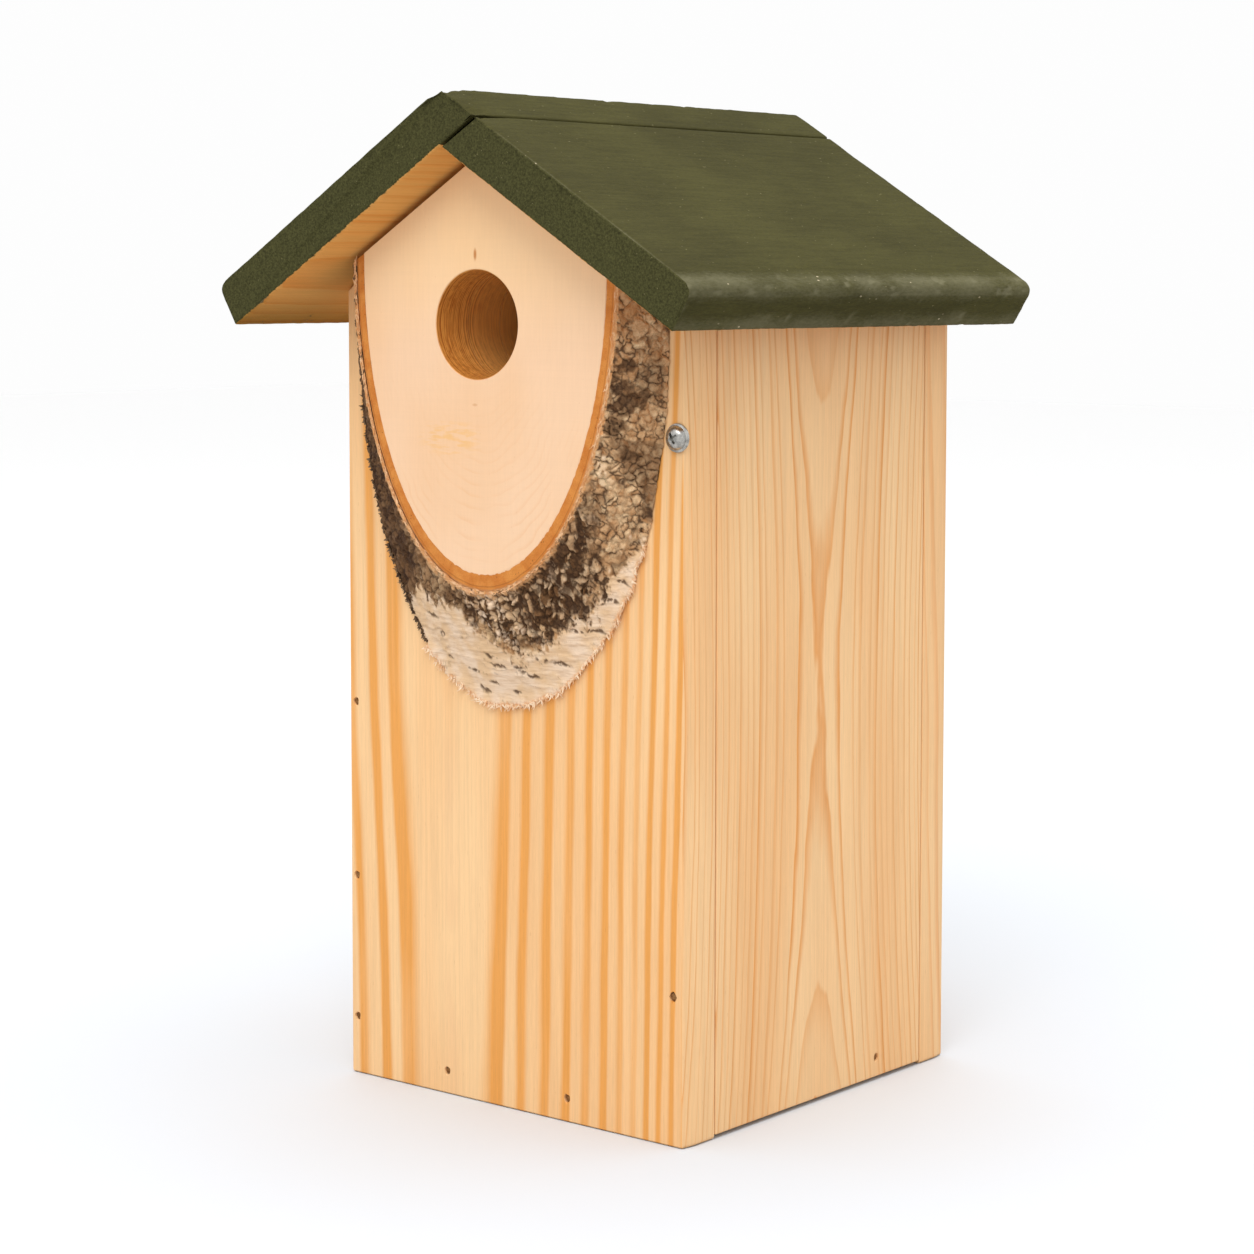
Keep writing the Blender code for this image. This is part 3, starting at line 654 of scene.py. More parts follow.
# ---- birch --------------------------------------------------------------------------------------
def birch_face():
    """The sawn face of the slice: pale, with faint year rings, fibres, saw marks, a drilled bore and painted
    light towards its top.
    """
    material, nodes, shader, place = start_material("birch_sawn_face", {"Specular IOR Level": 0.30})
    times, plus, minus, rise_to = nodes.times, nodes.plus, nodes.minus, nodes.rise
    mm = nodes.stretch(place, (1 / MM,) * 3)
    axes = nodes.split(mm)
    cloud = nodes.noise(mm, (0.022, 0.022, 0.016), 2.0)
    fibre = nodes.noise(mm, (1.6, 1.6, 0.09), 3.0, 0.6)
    hair = nodes.noise(mm, (5.0, 5.0, 0.5), 3.0, 0.65)
    saw = nodes.noise(mm, (0.03, 1.0, 1.7), 3.0, 0.6)
    wobble = times(nodes.noise(mm, (0.06, 0.06, 0.06), 2.0), 0.10)
    side = nodes.calc("DIVIDE", minus(axes[0], FACE_CENTRE_X / MM), FACE_SEMI[0] / MM)
    drop_down = nodes.calc("DIVIDE", minus(axes[2], FACE_CENTRE_Z / MM), FACE_SEMI[1] / MM)
    reach = nodes.reach(side, drop_down)
    reach = plus(reach, wobble)
    year = nodes.calc("FRACT", times(reach, 27.0))
    ring = times(rise_to(year, 0.55, 0.92), rise_to(year, 0.92, 1.0, 1.0, 0.0))
    ring = times(ring, rise_to(axes[2], 170.0, 225.0, 1.0, 0.15))
    ring = times(ring, rise_to(nodes.noise(mm, (0.09, 0.09, 0.05), 2.0), 0.35, 0.65))
    colour = nodes.mix(rise_to(cloud, 0.3, 0.7), tint(245, 206, 169), tint(241, 195, 150))
    # Painted light: the face is painted lighter towards its top, against the shade of the roof above it.
    upper = rise_to(axes[2], 225.0, 262.0)
    colour = nodes.mix(times(upper, 0.6), colour, tint(255, 218, 166))
    colour = nodes.mix(times(ring, 0.26), colour, tint(232, 172, 112))
    streaks = nodes.noise(mm, (0.16, 0.16, 0.75), 2.0)
    patch = streak_patch(nodes, mm, (-10.0, 203.0), (16.0, 7.0))
    colour = nodes.mix(times(rise_to(streaks, 0.45, 0.62), patch, 0.5), colour, tint(240, 184, 98))
    for spot, size, share in (((-0.4, 257.0), (0.8, 2.4), 0.85), ((-0.6, 213.0), (1.4, 0.6), 0.35)):
        mark = streak_patch(nodes, mm, spot, size)
        colour = nodes.mix(times(mark, share), colour, tint(196, 120, 48))
    lift = plus(1.0, plus(rise_to(fibre, 0.3, 0.7, -0.012, 0.012), rise_to(saw, 0.3, 0.7, -0.007, 0.007)))
    colour = nodes.shade(colour, lift)
    fleck = nodes.dots(mm, (0.9, 0.9, 0.35), 0.04, 0.10)
    fleck = times(fleck, rise_to(nodes.noise(mm, (0.3, 0.3, 0.12), 1.0), 0.55, 0.62))
    colour = nodes.mix(times(fleck, 0.35), colour, tint(205, 145, 88))
    bore = nodes.group(BORE, {"Place": mm}).outputs
    colour = nodes.mix(bore["Inside"], colour, bore["Color"])
    feed(nodes, shader, {"Base Color": colour, "Roughness": rise_to(hair, 0.2, 0.8, 0.50, 0.68)})
    relief(nodes, shader, plus(times(hair, 0.6), times(saw, 0.3)), 0.00006)
    return material


def streak_patch(nodes, mm, centre, size):
    """1 in the middle of an oval patch of the face, 0 outside it; places are (x, z) in mm."""
    middle = (centre[0], 0.0, centre[1])
    moved = nodes.add("ShaderNodeVectorMath", {0: mm, 1: middle}, operation="SUBTRACT").outputs[0]
    flat = nodes.stretch(moved, (1 / size[0], 0.0, 1 / size[1]))
    away = nodes.add("ShaderNodeVectorMath", {0: flat}, operation="LENGTH").outputs["Value"]
    return nodes.rise(away, 0.3, 1.0, 1.0, 0.0)


def make_bore_group():
    """The drilled wall of the entrance: rings left by the drill, browner than the face partly as painted
    shade, and painted lighter deeper in.
    """
    inputs = {"Place": (0.0, 0.0, 0.0)}
    nodes, given, sink = start_group("drilled_bore", inputs, {"Inside": "Float", "Color": "Color"})
    times, plus, minus, rise_to = nodes.times, nodes.plus, nodes.minus, nodes.rise
    axes = nodes.split(given["Place"])
    up = minus(axes[2], ENTRANCE_Z / MM)
    away = nodes.reach(axes[0], up)
    inside = rise_to(away, ENTRANCE_R / MM + 0.05, ENTRANCE_R / MM + 0.30, 1.0, 0.0)
    sway = times(nodes.noise(given["Place"], (0.12, 0.12, 0.12), 2.0), 1.6)
    turns = nodes.line_noise(plus(times(axes[1], 1.7), sway), 1.0, 3.0, 0.7)
    grain = nodes.noise(given["Place"], (0.9, 0.9, 0.10), 3.0, 0.6)
    lines = rise_to(plus(times(turns, 0.65), times(grain, 0.35)), 0.36, 0.62)
    # The bore's brown is partly painted shade: the tunnel's own shade and warm bounce, put into its colour.
    colour = nodes.mix(lines, tint(166, 92, 28), tint(232, 164, 78))
    # Painted light: deeper in, the bore is painted lighter, against the tunnel's shade.
    inner = rise_to(axes[1], -78.0, -48.0, 0.0, 0.55)
    colour = nodes.mix(inner, colour, tint(255, 206, 124))
    send(nodes, sink, {"Inside": inside, "Color": colour})
    return nodes.tree


def inner_bark_finish():
    """The orange band of inner bark, dotted, with a darker line near its outer edge."""
    material, nodes, shader, place = start_material("inner_bark_orange", {"Specular IOR Level": 0.25})
    times, plus, minus, rise_to = nodes.times, nodes.plus, nodes.minus, nodes.rise
    mm = nodes.stretch(place, (1 / MM,) * 3)
    over = nodes.add("ShaderNodeAttribute", attribute_name="across").outputs["Fac"]
    cloud = nodes.noise(mm, (0.25, 0.25, 0.25), 3.0)
    crumb = nodes.noise(mm, (2.4, 2.4, 2.4), 3.0, 0.7)
    colour = nodes.mix(rise_to(cloud, 0.3, 0.7), tint(222, 146, 68), tint(206, 124, 50))
    colour = nodes.mix(rise_to(crumb, 0.35, 0.75, 0.0, 0.35), colour, tint(178, 98, 38))
    dots = nodes.dots(mm, (0.85, 0.4, 0.85), 0.10, 0.20)
    dots = times(dots, rise_to(nodes.noise(mm, (0.5, 0.5, 0.5), 1.0), 0.50, 0.60))
    colour = nodes.mix(times(dots, 0.75), colour, tint(120, 66, 26))
    line = plus(over, times(minus(nodes.noise(mm, (0.2, 0.2, 0.2), 2.0), 0.5), 0.12))
    line = times(rise_to(line, 0.66, 0.72), rise_to(line, 0.74, 0.80, 1.0, 0.0))
    colour = nodes.mix(times(line, 0.55), colour, tint(158, 88, 34))
    rim = rise_to(plus(over, times(crumb, 0.14)), 0.90, 1.04)
    colour = nodes.mix(times(rim, 0.7), colour, tint(234, 178, 122))
    feed(nodes, shader, {"Base Color": colour, "Roughness": rise_to(crumb, 0.2, 0.8, 0.62, 0.85)})
    relief(nodes, shader, crumb, 0.00018)
    return material


def birch_bark_finish():
    """Bark from its zones: brown plates with dark crevices, a black fissured band, and creamy paper."""
    material, nodes, shader, place = start_material("birch_bark_layers", {"Specular IOR Level": 0.22})
    times, plus, minus, rise_to = nodes.times, nodes.plus, nodes.minus, nodes.rise
    mm = nodes.stretch(place, (1 / MM,) * 3)
    zones = nodes.add("ShaderNodeAttribute", attribute_name="zones")
    marks = nodes.add("ShaderNodeAttribute", attribute_name="marks")
    split = nodes.add("ShaderNodeSeparateColor", {0: zones.outputs["Color"]}).outputs
    extra = nodes.add("ShaderNodeSeparateColor", {0: marks.outputs["Color"]}).outputs
    crevice, paper, tone = split[0], split[1], split[2]
    soot, dash, lip = extra[0], extra[1], extra[2]
    cloud = nodes.noise(mm, (0.16, 0.16, 0.16), 3.0)
    crumb = nodes.noise(mm, (1.5, 1.5, 1.5), 4.0, 0.7)
    layer = nodes.noise(mm, (0.16, 0.4, 1.3), 3.0, 0.65)

    plate = nodes.mix(tone, tint(186, 134, 86), tint(244, 212, 168))
    plate = nodes.mix(rise_to(cloud, 0.40, 0.65, 0.0, 0.5), plate, tint(200, 148, 98))
    plate = nodes.mix(rise_to(crumb, 0.45, 0.75, 0.0, 0.5), plate, tint(128, 90, 56))
    black = nodes.mix(tone, tint(64, 40, 24), tint(142, 102, 64))
    black = nodes.mix(rise_to(crumb, 0.4, 0.7, 0.0, 0.7), black, tint(56, 36, 22))
    skin = nodes.mix(rise_to(cloud, 0.35, 0.65), tint(247, 220, 192), tint(238, 202, 160))
    skin = nodes.mix(rise_to(layer, 0.42, 0.70, 0.0, 0.45), skin, tint(202, 164, 124))
    skin = nodes.mix(rise_to(crumb, 0.60, 0.80, 0.0, 0.35), skin, tint(170, 138, 108))
    colour = nodes.mix(soot, plate, black)
    colour = nodes.mix(paper, colour, skin)
    colour = nodes.mix(times(crevice, 0.86), colour, tint(66, 44, 28))
    colour = nodes.mix(dash, colour, tint(98, 72, 50))
    pale = nodes.mix(rise_to(crumb, 0.35, 0.65), tint(236, 186, 134), tint(222, 156, 96))
    colour = nodes.mix(lip, colour, pale)
    feed(nodes, shader, {"Base Color": colour, "Roughness": rise_to(crumb, 0.2, 0.8, 0.66, 0.88)})
    height = plus(times(crumb, minus(1.0, times(paper, 0.75))), times(layer, times(paper, 0.3)))
    relief(nodes, shader, height, 0.00045)
    return material


def torn_fibre_finish(name, light, dark):
    """Loose torn fibre and paper at the bark's edges."""
    material, nodes, shader, place = start_material(name, {"Specular IOR Level": 0.2})
    mm = nodes.stretch(place, (1 / MM,) * 3)
    cloud = nodes.noise(mm, (0.45, 0.45, 0.45), 3.0, 0.6)
    crumb = nodes.noise(mm, (3.0, 3.0, 3.0), 2.0)
    colour = nodes.mix(nodes.rise(cloud, 0.38, 0.62), light, dark)
    feed(nodes, shader, {"Base Color": colour, "Roughness": nodes.rise(crumb, 0.2, 0.8, 0.65, 0.85)})
    relief(nodes, shader, crumb, 0.00010)
    return material


# ---- metal --------------------------------------------------------------------------------------
def make_metal_group():
    """Fine scratches and dull patches on a small metal part."""
    inputs = {
        "Place": (0.0, 0.0, 0.0), "Bright": (0.6, 0.6, 0.6, 1.0), "Dull": (0.4, 0.4, 0.4, 1.0),
        "Gloss": 0.25,
    }
    outputs = {"Color": "Color", "Roughness": "Float", "Height": "Float"}
    nodes, given, sink = start_group("worked_metal", inputs, outputs)
    mm = nodes.stretch(given["Place"], (1 / MM,) * 3)
    patch = nodes.noise(mm, (0.8, 0.8, 0.8), 3.0, 0.6)
    scratch = nodes.noise(mm, (9.0, 2.0, 3.0), 3.0, 0.7)
    colour = nodes.mix(nodes.rise(patch, 0.35, 0.7), given["Bright"], given["Dull"])
    rough = nodes.plus(given["Gloss"], nodes.rise(nodes.plus(scratch, patch), 0.7, 1.3, 0.0, 0.16))
    send(nodes, sink, {"Color": colour, "Roughness": rough, "Height": scratch})
    return nodes.tree


def metal(name, bright, dull, gloss):
    """A metal finish from its brighter and duller colours and its roughness where it shines."""
    material, nodes, shader, place = start_material(name, {"Metallic": 1.0})
    worked = nodes.group(METAL, {"Place": place, "Bright": bright, "Dull": dull, "Gloss": gloss}).outputs
    feed(nodes, shader, {"Base Color": worked["Color"], "Roughness": worked["Roughness"]})
    relief(nodes, shader, worked["Height"], 0.00002)
    return material


def spangled_zinc():
    """Hot-dipped zinc with its crystal spangle."""
    material, nodes, shader, place = start_material("zinc_plate_spangle", {"Metallic": 1.0})
    mm = nodes.stretch(place, (1 / MM,) * 3)
    spangle = nodes.grain_cells(mm, (0.32, 0.32, 0.32), output="Color")
    shade = nodes.add("ShaderNodeSeparateColor", {0: spangle}).outputs[0]
    scratch = nodes.noise(mm, (0.6, 3.0, 5.0), 3.0, 0.7)
    colour = nodes.mix(shade, tint(172, 176, 180), tint(204, 207, 210))
    rough = nodes.plus(nodes.rise(shade, 0.0, 1.0, 0.26, 0.42), nodes.rise(scratch, 0.4, 0.8, 0.0, 0.12))
    feed(nodes, shader, {"Base Color": colour, "Roughness": rough})
    relief(nodes, shader, scratch, 0.00003)
    return material


# ---- boards -------------------------------------------------------------------------------------
def span(node):
    """The low corner, the high corner and the middle of a frame node's box."""
    low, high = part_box(node)
    return low, high, (low + high) / 2


def under_roof(x, gap=0.0):
    """Height of the roof's underside at x, less a gap square to the slope."""
    return ROOF_APEX_Z - math.tan(ROOF_PITCH) * abs(x) - gap / math.cos(ROOF_PITCH)


def finish_piece(piece, material, slot_name, *nodes):
    """Give a piece its finish and hide the frame nodes it stands for; slot_name is not used."""
    piece.data.materials.clear()
    piece.data.materials.append(material)
    if nodes:
        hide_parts(*nodes)
    return piece


def gable_board(name, node, material, is_front):
    """A front or back board: a pointed top, soft outer arrises and its holes."""
    low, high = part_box(node)
    half = high.x
    shoulder = under_roof(half, BOARD_GAP)
    corners = [(-half, low.z), (half, low.z), (half, shoulder), (0.0, high.z), (-half, shoulder)]
    outline = soft_outline(corners, [LIP * 2, LIP * 2, LIP, LIP, LIP], 0.004)
    rings = board_rings(outline, low.y, high.y, LIP, 0.004)
    outer = low.y if is_front else high.y
    for ring in rings:
        away = np.abs(ring[:, 1] - outer)
        edge = half - np.abs(ring[:, 0])
        round_arris(ring, away, edge, half)
    verts, faces = loft(rings)
    board = new_piece(name, verts, faces, FIXED)
    drill_board(board, low, high, is_front)
    crisp(board)
    return finish_piece(board, material, "pine", node)


def round_arris(ring, away, edge, half):
    """Pull the points near an outer vertical arris back to a round of the arris radius."""
    inside = (away < ARRIS) & (edge < ARRIS)
    u, w = ARRIS - away[inside], ARRIS - edge[inside]
    reach = np.hypot(u, w)
    over = np.maximum(reach / ARRIS, 1.0)
    side = np.sign(ring[inside, 0])
    ring[inside, 0] = side * (half - ARRIS + w / over)


def drill_board(board, low, high, is_front):
    """The holes of a gable board, from the frame's own screws and brads."""
    word, outer, into = ("front", low.y, 1) if is_front else ("back", high.y, -1)
    _, _, centre = span("pivot_screw_" + word)
    drill(board, (centre.x, low.y, centre.z), (centre.x, high.y, centre.z), PIVOT_HOLE_R, 0.0002, 32)
    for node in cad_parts:
        if node.startswith("brad_" + word):
            head_low, head_high, spot = span(node)
            nail_hole(board, spot, outer, into, (head_high.x - head_low.x) / 2)
    if is_front:
        drill(board, (0.0, low.y, ENTRANCE_Z), (0.0, high.y, ENTRANCE_Z), ENTRANCE_R, 0.0, BORE_SIDES)
        for node in ("slice_screw_left", "slice_screw_right"):
            sunk(board, node, high.y, SLICE_SCREW_HOLE_R)
        pin_low, pin_high, pin = span("stop_pin")
        stop_hole(board, pin, low.y, pin_high.y + BOARD_GAP, (pin_high.x - pin_low.x) / 2)
    else:
        _, _, middle = span("hanger_plate")
        drill(board, (0.0, high.y - POCKET_DEPTH, middle.z), (0.0, high.y + MM, middle.z), POCKET_R)
        for node in ("hanger_screw_lower", "hanger_screw_upper"):
            head_low, _, spot = span(node)
            start, stop = (0.0, head_low.y - MM, spot.z), (0.0, high.y + MM, spot.z)
            drill(board, start, stop, HANGER_SCREW_HOLE_R, 0.0, 24)


NAIL_MOUTH = (  # depth in mm, then width and height as shares of the head's
    (-1.0, 1.10, 1.36), (0.0, 1.10, 1.36), (0.25, 1.06, 1.14), (1.4, 1.06, 1.06), (16.0, 1.06, 1.06),
)
DOOR_NAIL_MOUTH = (
    (1.0, 1.10, 1.36), (0.0, 1.10, 1.36), (-0.3, 1.07, 1.14), (-1.4, 1.06, 1.06), (-12.0, 1.06, 1.06),
)


def nail_hole(board, spot, outer, into, radius):
    """A brad's hole: its head pressed the fibres in, so the mouth is a little taller than wide."""
    rings = []
    for depth, wide, tall in NAIL_MOUTH:
        ring = []
        for k in range(20):
            angle = 2 * math.pi * k / 20
            ragged = 1 + 0.07 * math.sin(3 * angle + spot.z / MM) + 0.05 * math.sin(5 * angle + spot.x / MM)
            ring.append((
                spot.x + radius * wide * ragged * math.cos(angle),
                outer + into * depth * MM,
                spot.z + radius * tall * ragged * math.sin(angle),
            ))
        rings.append(ring)
    carve(board, *loft(rings))


def stop_hole(board, pin, low_y, end_y, radius):
    """The mouth of the stop pin's hole, torn to a diamond."""
    rings = []
    end = (end_y - low_y) / MM
    size = 1.04
    for depth, tall in ((-1.0, 1.25), (0.0, 1.25), (0.5, 1.10), (1.2, size), (end, size)):
        ring = []
        for k in range(24):
            angle = 2 * math.pi * k / 24
            point = (abs(math.cos(angle)) + abs(math.sin(angle))) if depth <= 0 else 1.0
            ring.append((
                pin.x + radius * size * math.cos(angle) / point ** 0.6,
                low_y + depth * MM,
                pin.z + radius * tall * math.sin(angle) / point ** 0.3,
            ))
        rings.append(ring)
    carve(board, *loft(rings))


def sunk(board, node, face_y, shank_r, depth=0.020):
    """A countersunk hole for a frame node's screw, made from behind."""
    low, high, spot = span(node)
    wide = (high.x - low.x) / 2 + BOARD_GAP
    profile = [(wide, -2 * MM), (wide, BOARD_GAP), (shank_r, wide - shank_r + BOARD_GAP), (shank_r, depth)]
    carve(board, *turned(profile, aim((spot.x, face_y, spot.z), (0, -1, 0)), 40))


def side_board(name, node, body):
    """A side board whose top follows the roof's slope."""
    low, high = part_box(node)
    sign = 1 if high.x > 0 else -1
    outer, inner = (high.x, low.x) if sign > 0 else (low.x, high.x)
    gap = (under_roof(inner) - high.z) * math.cos(ROOF_PITCH)
    corners = [(inner, low.z), (outer, low.z), (outer, under_roof(outer, gap)), (inner, high.z)]
    outline = soft_outline(corners, [LIP] * 4, 0.004)
    verts, faces = loft(board_rings(outline, low.y, high.y, LIP, 0.004))
    return new_piece(name, verts, faces, body), low, high


def make_sides():
    """The fixed left side, and the right side that swings on its two screws."""
    board, _, _ = side_board("left_side_board", "left_side", FIXED)
    for brad in [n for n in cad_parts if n.startswith("brad_") and "edge" in n]:
        head_low, head_high, spot = span(brad)
        start = head_low.y - BOARD_GAP if spot.y < 0 else head_high.y + BOARD_GAP
        stop = head_high.y + BOARD_GAP - 2 * MM if spot.y < 0 else head_low.y - BOARD_GAP + 2 * MM
        drill(board, (spot.x, start, spot.z), (spot.x, stop, spot.z), BRAD_HOLE_R, 0.0, 16)
    crisp(board)
    finish_piece(board, FINISH["left"], "pine", "left_side")

    board, low, high = side_board("swinging_side_board", "side_door", SWINGING)
    for word in ("front", "back"):
        screw_low, screw_high, spot = span("pivot_screw_" + word)
        start, stop = (low.y, screw_high.y) if spot.y < 0 else (high.y, screw_low.y)
        drill(board, (spot.x, start, spot.z), (spot.x, stop, spot.z), PIVOT_HOLE_R, 0.0, 24)
    brad_low, brad_high, spot = span("brad_door_foot")
    radius = (brad_high.z - brad_low.z) / 2
    rings = []
    for depth, wide, tall in DOOR_NAIL_MOUTH:
        rings.append([
            (high.x + depth * MM, spot.y + radius * wide * math.cos(a), spot.z + radius * tall * math.sin(a))
            for a in (2 * math.pi * k / 20 for k in range(20))
        ])
    carve(board, *loft(rings))
    crisp(board)
    finish_piece(board, FINISH["door"], "pine", "side_door")


def make_floor_board():
    """The floor of the nest, held by brads through the front and the back."""
    low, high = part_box("floor_board")
    outline = soft_outline(rectangle(low, high), [LIP] * 4, 0.006)
    verts, faces = loft(board_rings(outline, low.y, high.y, LIP, 0.006))
    board = new_piece("nest_floor_board", verts, faces, FIXED)
    for brad in [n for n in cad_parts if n.startswith("brad_") and "foot" in n and "door" not in n]:
        head_low, head_high, spot = span(brad)
        inner = head_high.y if spot.y < 0 else head_low.y
        outer = low.y if spot.y < 0 else high.y
        drill(board, (spot.x, outer, spot.z), (spot.x, inner, spot.z), BRAD_HOLE_R, 0.0, 16)
    crisp(board)
    finish_piece(board, FINISH["floor"], "pine", "floor_board")


def make_entrance_collar():
    """The turned ring behind the front board that makes the entrance a longer tunnel."""
    low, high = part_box("entrance_collar")
    radius, length = (high.x - low.x) / 2, high.y - low.y
    profile = [(radius - LIP, 0.0), (radius, LIP), (radius, length - LIP), (radius - LIP, length)]
    start, stop = Vector((0.0, low.y, ENTRANCE_Z)), Vector((0.0, high.y, ENTRANCE_Z))
    ring = new_piece("turned_entrance_collar", *turned(profile, aim(start, stop - start), BORE_SIDES), FIXED)
    drill(ring, start, stop, ENTRANCE_R, 0.0, BORE_SIDES, LIP)
    crisp(ring)
    finish_piece(ring, FINISH["collar"], "pine", "entrance_collar")


# ---- roof ---------------------------------------------------------------------------------------
def make_roof():
    """Two boards: the left one carries the ridge and the right one butts against its underside."""
    for word, sign in (("left", -1), ("right", 1)):
        node = "roof_board_" + word
        low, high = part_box(node)
        outline = roof_outline(sign)
        rings = board_rings(outline, low.y, high.y, 0.0008, 0.0016)
        verts, faces = loft(rings)
        board = new_piece("roof_" + word + "_board", verts, faces, FIXED, crease=50)
        weather(board, outline, low, high, sign)
        crisp(board, 50)
        finish_piece(board, FINISH["roof_" + word], "roof_stain", node)


def slope_point(sign, along, up):
    """A point given along a roof slope from the inner apex and up from its underside."""
    cosine, sine = math.cos(ROOF_PITCH), math.sin(ROOF_PITCH)
    return sign * (along * cosine + up * sine), ROOF_APEX_Z - along * sine + up * cosine


def roof_outline(sign):
    """The board's section: under side, eave, top and the joint at the ridge."""
    lap = ROOF_T / math.sin(2 * ROOF_PITCH)
    slide = ROOF_JOINT / math.sin(2 * ROOF_PITCH)
    if sign < 0:
        corners = [
            slope_point(-1, ROOF_SLOPE, 0.0), slope_point(-1, -lap, 0.0),
            (0.0, ROOF_APEX_Z + ROOF_T / math.cos(ROOF_PITCH)), slope_point(-1, ROOF_SLOPE, ROOF_T),
        ]
        radii = [0.0008, 0.0007, 0.0016, EAVE_R]
    else:
        top_start = lap * math.cos(2 * ROOF_PITCH)
        corners = [
            slope_point(1, slide, 0.0), slope_point(1, ROOF_SLOPE, 0.0),
            slope_point(1, ROOF_SLOPE, ROOF_T), slope_point(1, slide + top_start, ROOF_T),
        ]
        radii = [0.0006, 0.0008, EAVE_R, 0.0006]
    return soft_outline(corners, radii, 0.0016)


def weather(board, outline, low, high, sign):
    """Wear the arrises and mark how worn each point is."""
    place, normal = vertex_normals(board)
    bend = 1 - np.abs(np.sum(outward(outline) * np.roll(outward(outline), 2, 0), axis=1))
    arris = np.zeros(len(outline))
    for shift in range(-3, 4):
        arris = np.maximum(arris, np.roll((bend > 0.01).astype(float), shift) * (1 - abs(shift) / 4))
    around = np.tile(arris, len(place) // len(outline))
    end = np.minimum(place[:, 1] - low.y, high.y - place[:, 1])
    ends = 1 - rise(end, 0.0, 0.0022)
    edge = np.maximum(around, ends)
    slow = soft_noise(place / MM, 0.10, 5, 2)
    fine = soft_noise(place / MM, 0.45, 9, 3)
    chip = rise(soft_noise(place / MM, 0.26, 21, 2), 0.66, 0.82) * rise(fine, 0.35, 0.6)
    at_seam = 1 - rise(np.hypot(place[:, 0] - 0.009, place[:, 2] - ROOF_APEX_Z - 0.007), 0.008, 0.016)
    sink = edge * (0.00022 * slow + 0.00030 * fine) + edge * chip * 0.0005
    sink *= 1 - 0.85 * at_seam * rise(place[:, 1] - low.y, 0.004, 0.020)
    sink += 0.00005 * soft_noise(place / MM, 0.05, 3, 2)
    ridge = slope_point(-1, -ROOF_T / math.sin(2 * ROOF_PITCH), 0.0)
    at_front = 1 - rise(place[:, 1] - low.y, 0.0, 0.012)
    top = (0.0, ROOF_APEX_Z + ROOF_T / math.cos(ROOF_PITCH))
    near_top = 1 - rise(np.hypot(place[:, 0] - top[0], place[:, 2] - top[1]), 0.001, 0.006)
    sink += at_front * near_top * (0.0006 + 0.0012 * fine) if sign < 0 else 0.0
    near_joint = 1 - rise(np.hypot(place[:, 0] - ridge[0] * 0.6, place[:, 2] - ridge[1]), 0.002, 0.012)
    sink += at_front * near_joint * around * 0.0011 * rise(fine, 0.3, 0.75)
    set_points(board, place - normal * sink[:, None])
    worn = np.clip(edge * (0.35 + 0.5 * slow) + chip * edge * 0.6, 0, 1)
    paint_points(board, "wear", worn * (1 - 0.9 * at_seam))


# ---- birch slice --------------------------------------------------------------------------------
def oval(share, inset_face, inset_foot):
    """Centre and half widths of the slice's outline, from 0 at its face to 1 at the board."""
    centre = (
        FACE_CENTRE_X + (FOOT_CENTRE_X - FACE_CENTRE_X) * share,
        FACE_CENTRE_Z + (FOOT_CENTRE_Z - FACE_CENTRE_Z) * share,
    )
    semi = [
        (FACE_SEMI[i] - inset_face[i]) * (1 - share) + (FOOT_SEMI[i] - inset_foot[i]) * share for i in (0, 1)
    ]
    return centre, semi


def roof_limits(centre, semi):
    """Angles where an oval meets the roof's clearance on the left and on the right."""
    limits = []
    for low, high in ((math.pi * 1.5, math.pi * 0.6), (math.pi * 1.5, math.pi * 2.4)):
        for _ in range(40):
            middle = (low + high) / 2
            x = centre[0] + semi[0] * math.cos(middle)
            z = centre[1] + semi[1] * math.sin(middle)
            if z > under_roof(x, SLICE_ROOF_GAP):
                high = middle
            else:
                low = middle
        limits.append(low)
    return limits


def oval_points(share, inset_face, inset_foot, count):
    """Points (x, z) round the slice from the left slope to the right one, with their angles."""
    centre, semi = oval(share, inset_face, inset_foot)
    start, stop = roof_limits(centre, semi)
    angle = np.linspace(start, stop, count)
    return np.stack([centre[0] + semi[0] * np.cos(angle), centre[1] + semi[1] * np.sin(angle)], 1), angle


def at_y(flat, y):
    return np.stack([flat[:, 0], np.full(len(flat), y), flat[:, 1]], 1)


def make_slice_wood():
    """The heartwood: a tapering block up to the gable's peak, with the bore through it."""
    count = 200
    inset_face = [w + BARREL_GAP for w in RING_WIDTH]
    inset_foot = [BARK_ON_BOARD + w + BARREL_GAP for w in RING_WIDTH]
    rings = []
    for share, lip in ((0.0, 0.00025), (0.02, 0.0), (0.5, 0.0), (0.98, 0.0), (1.0, 0.0002)):
        flat, _ = oval_points(share, [i + lip for i in inset_face], [i + lip for i in inset_foot], count)
        peak = np.array([[0.0, under_roof(0.0, SLICE_ROOF_GAP + lip)]])
        rings.append(at_y(np.vstack([flat, peak]), FACE_Y + (FOOT_Y - FACE_Y) * share))
    block = new_piece("birch_slice_wood", *loft(rings), FIXED)
    drill(block, (0.0, FACE_Y, ENTRANCE_Z), (0.0, FOOT_Y, ENTRANCE_Z), ENTRANCE_R, 0.00035, BORE_SIDES, 0.0)
    for node in ("slice_screw_left", "slice_screw_right"):
        low, _, spot = span(node)
        start, stop = (spot.x, low.y - BOARD_GAP, spot.z), (spot.x, FOOT_Y + MM, spot.z)
        drill(block, start, stop, SLICE_SCREW_HOLE_R, 0.0, 24)
    crisp(block)
    finish_piece(block, FINISH["birch"], "birch_wood", "slice_wood")


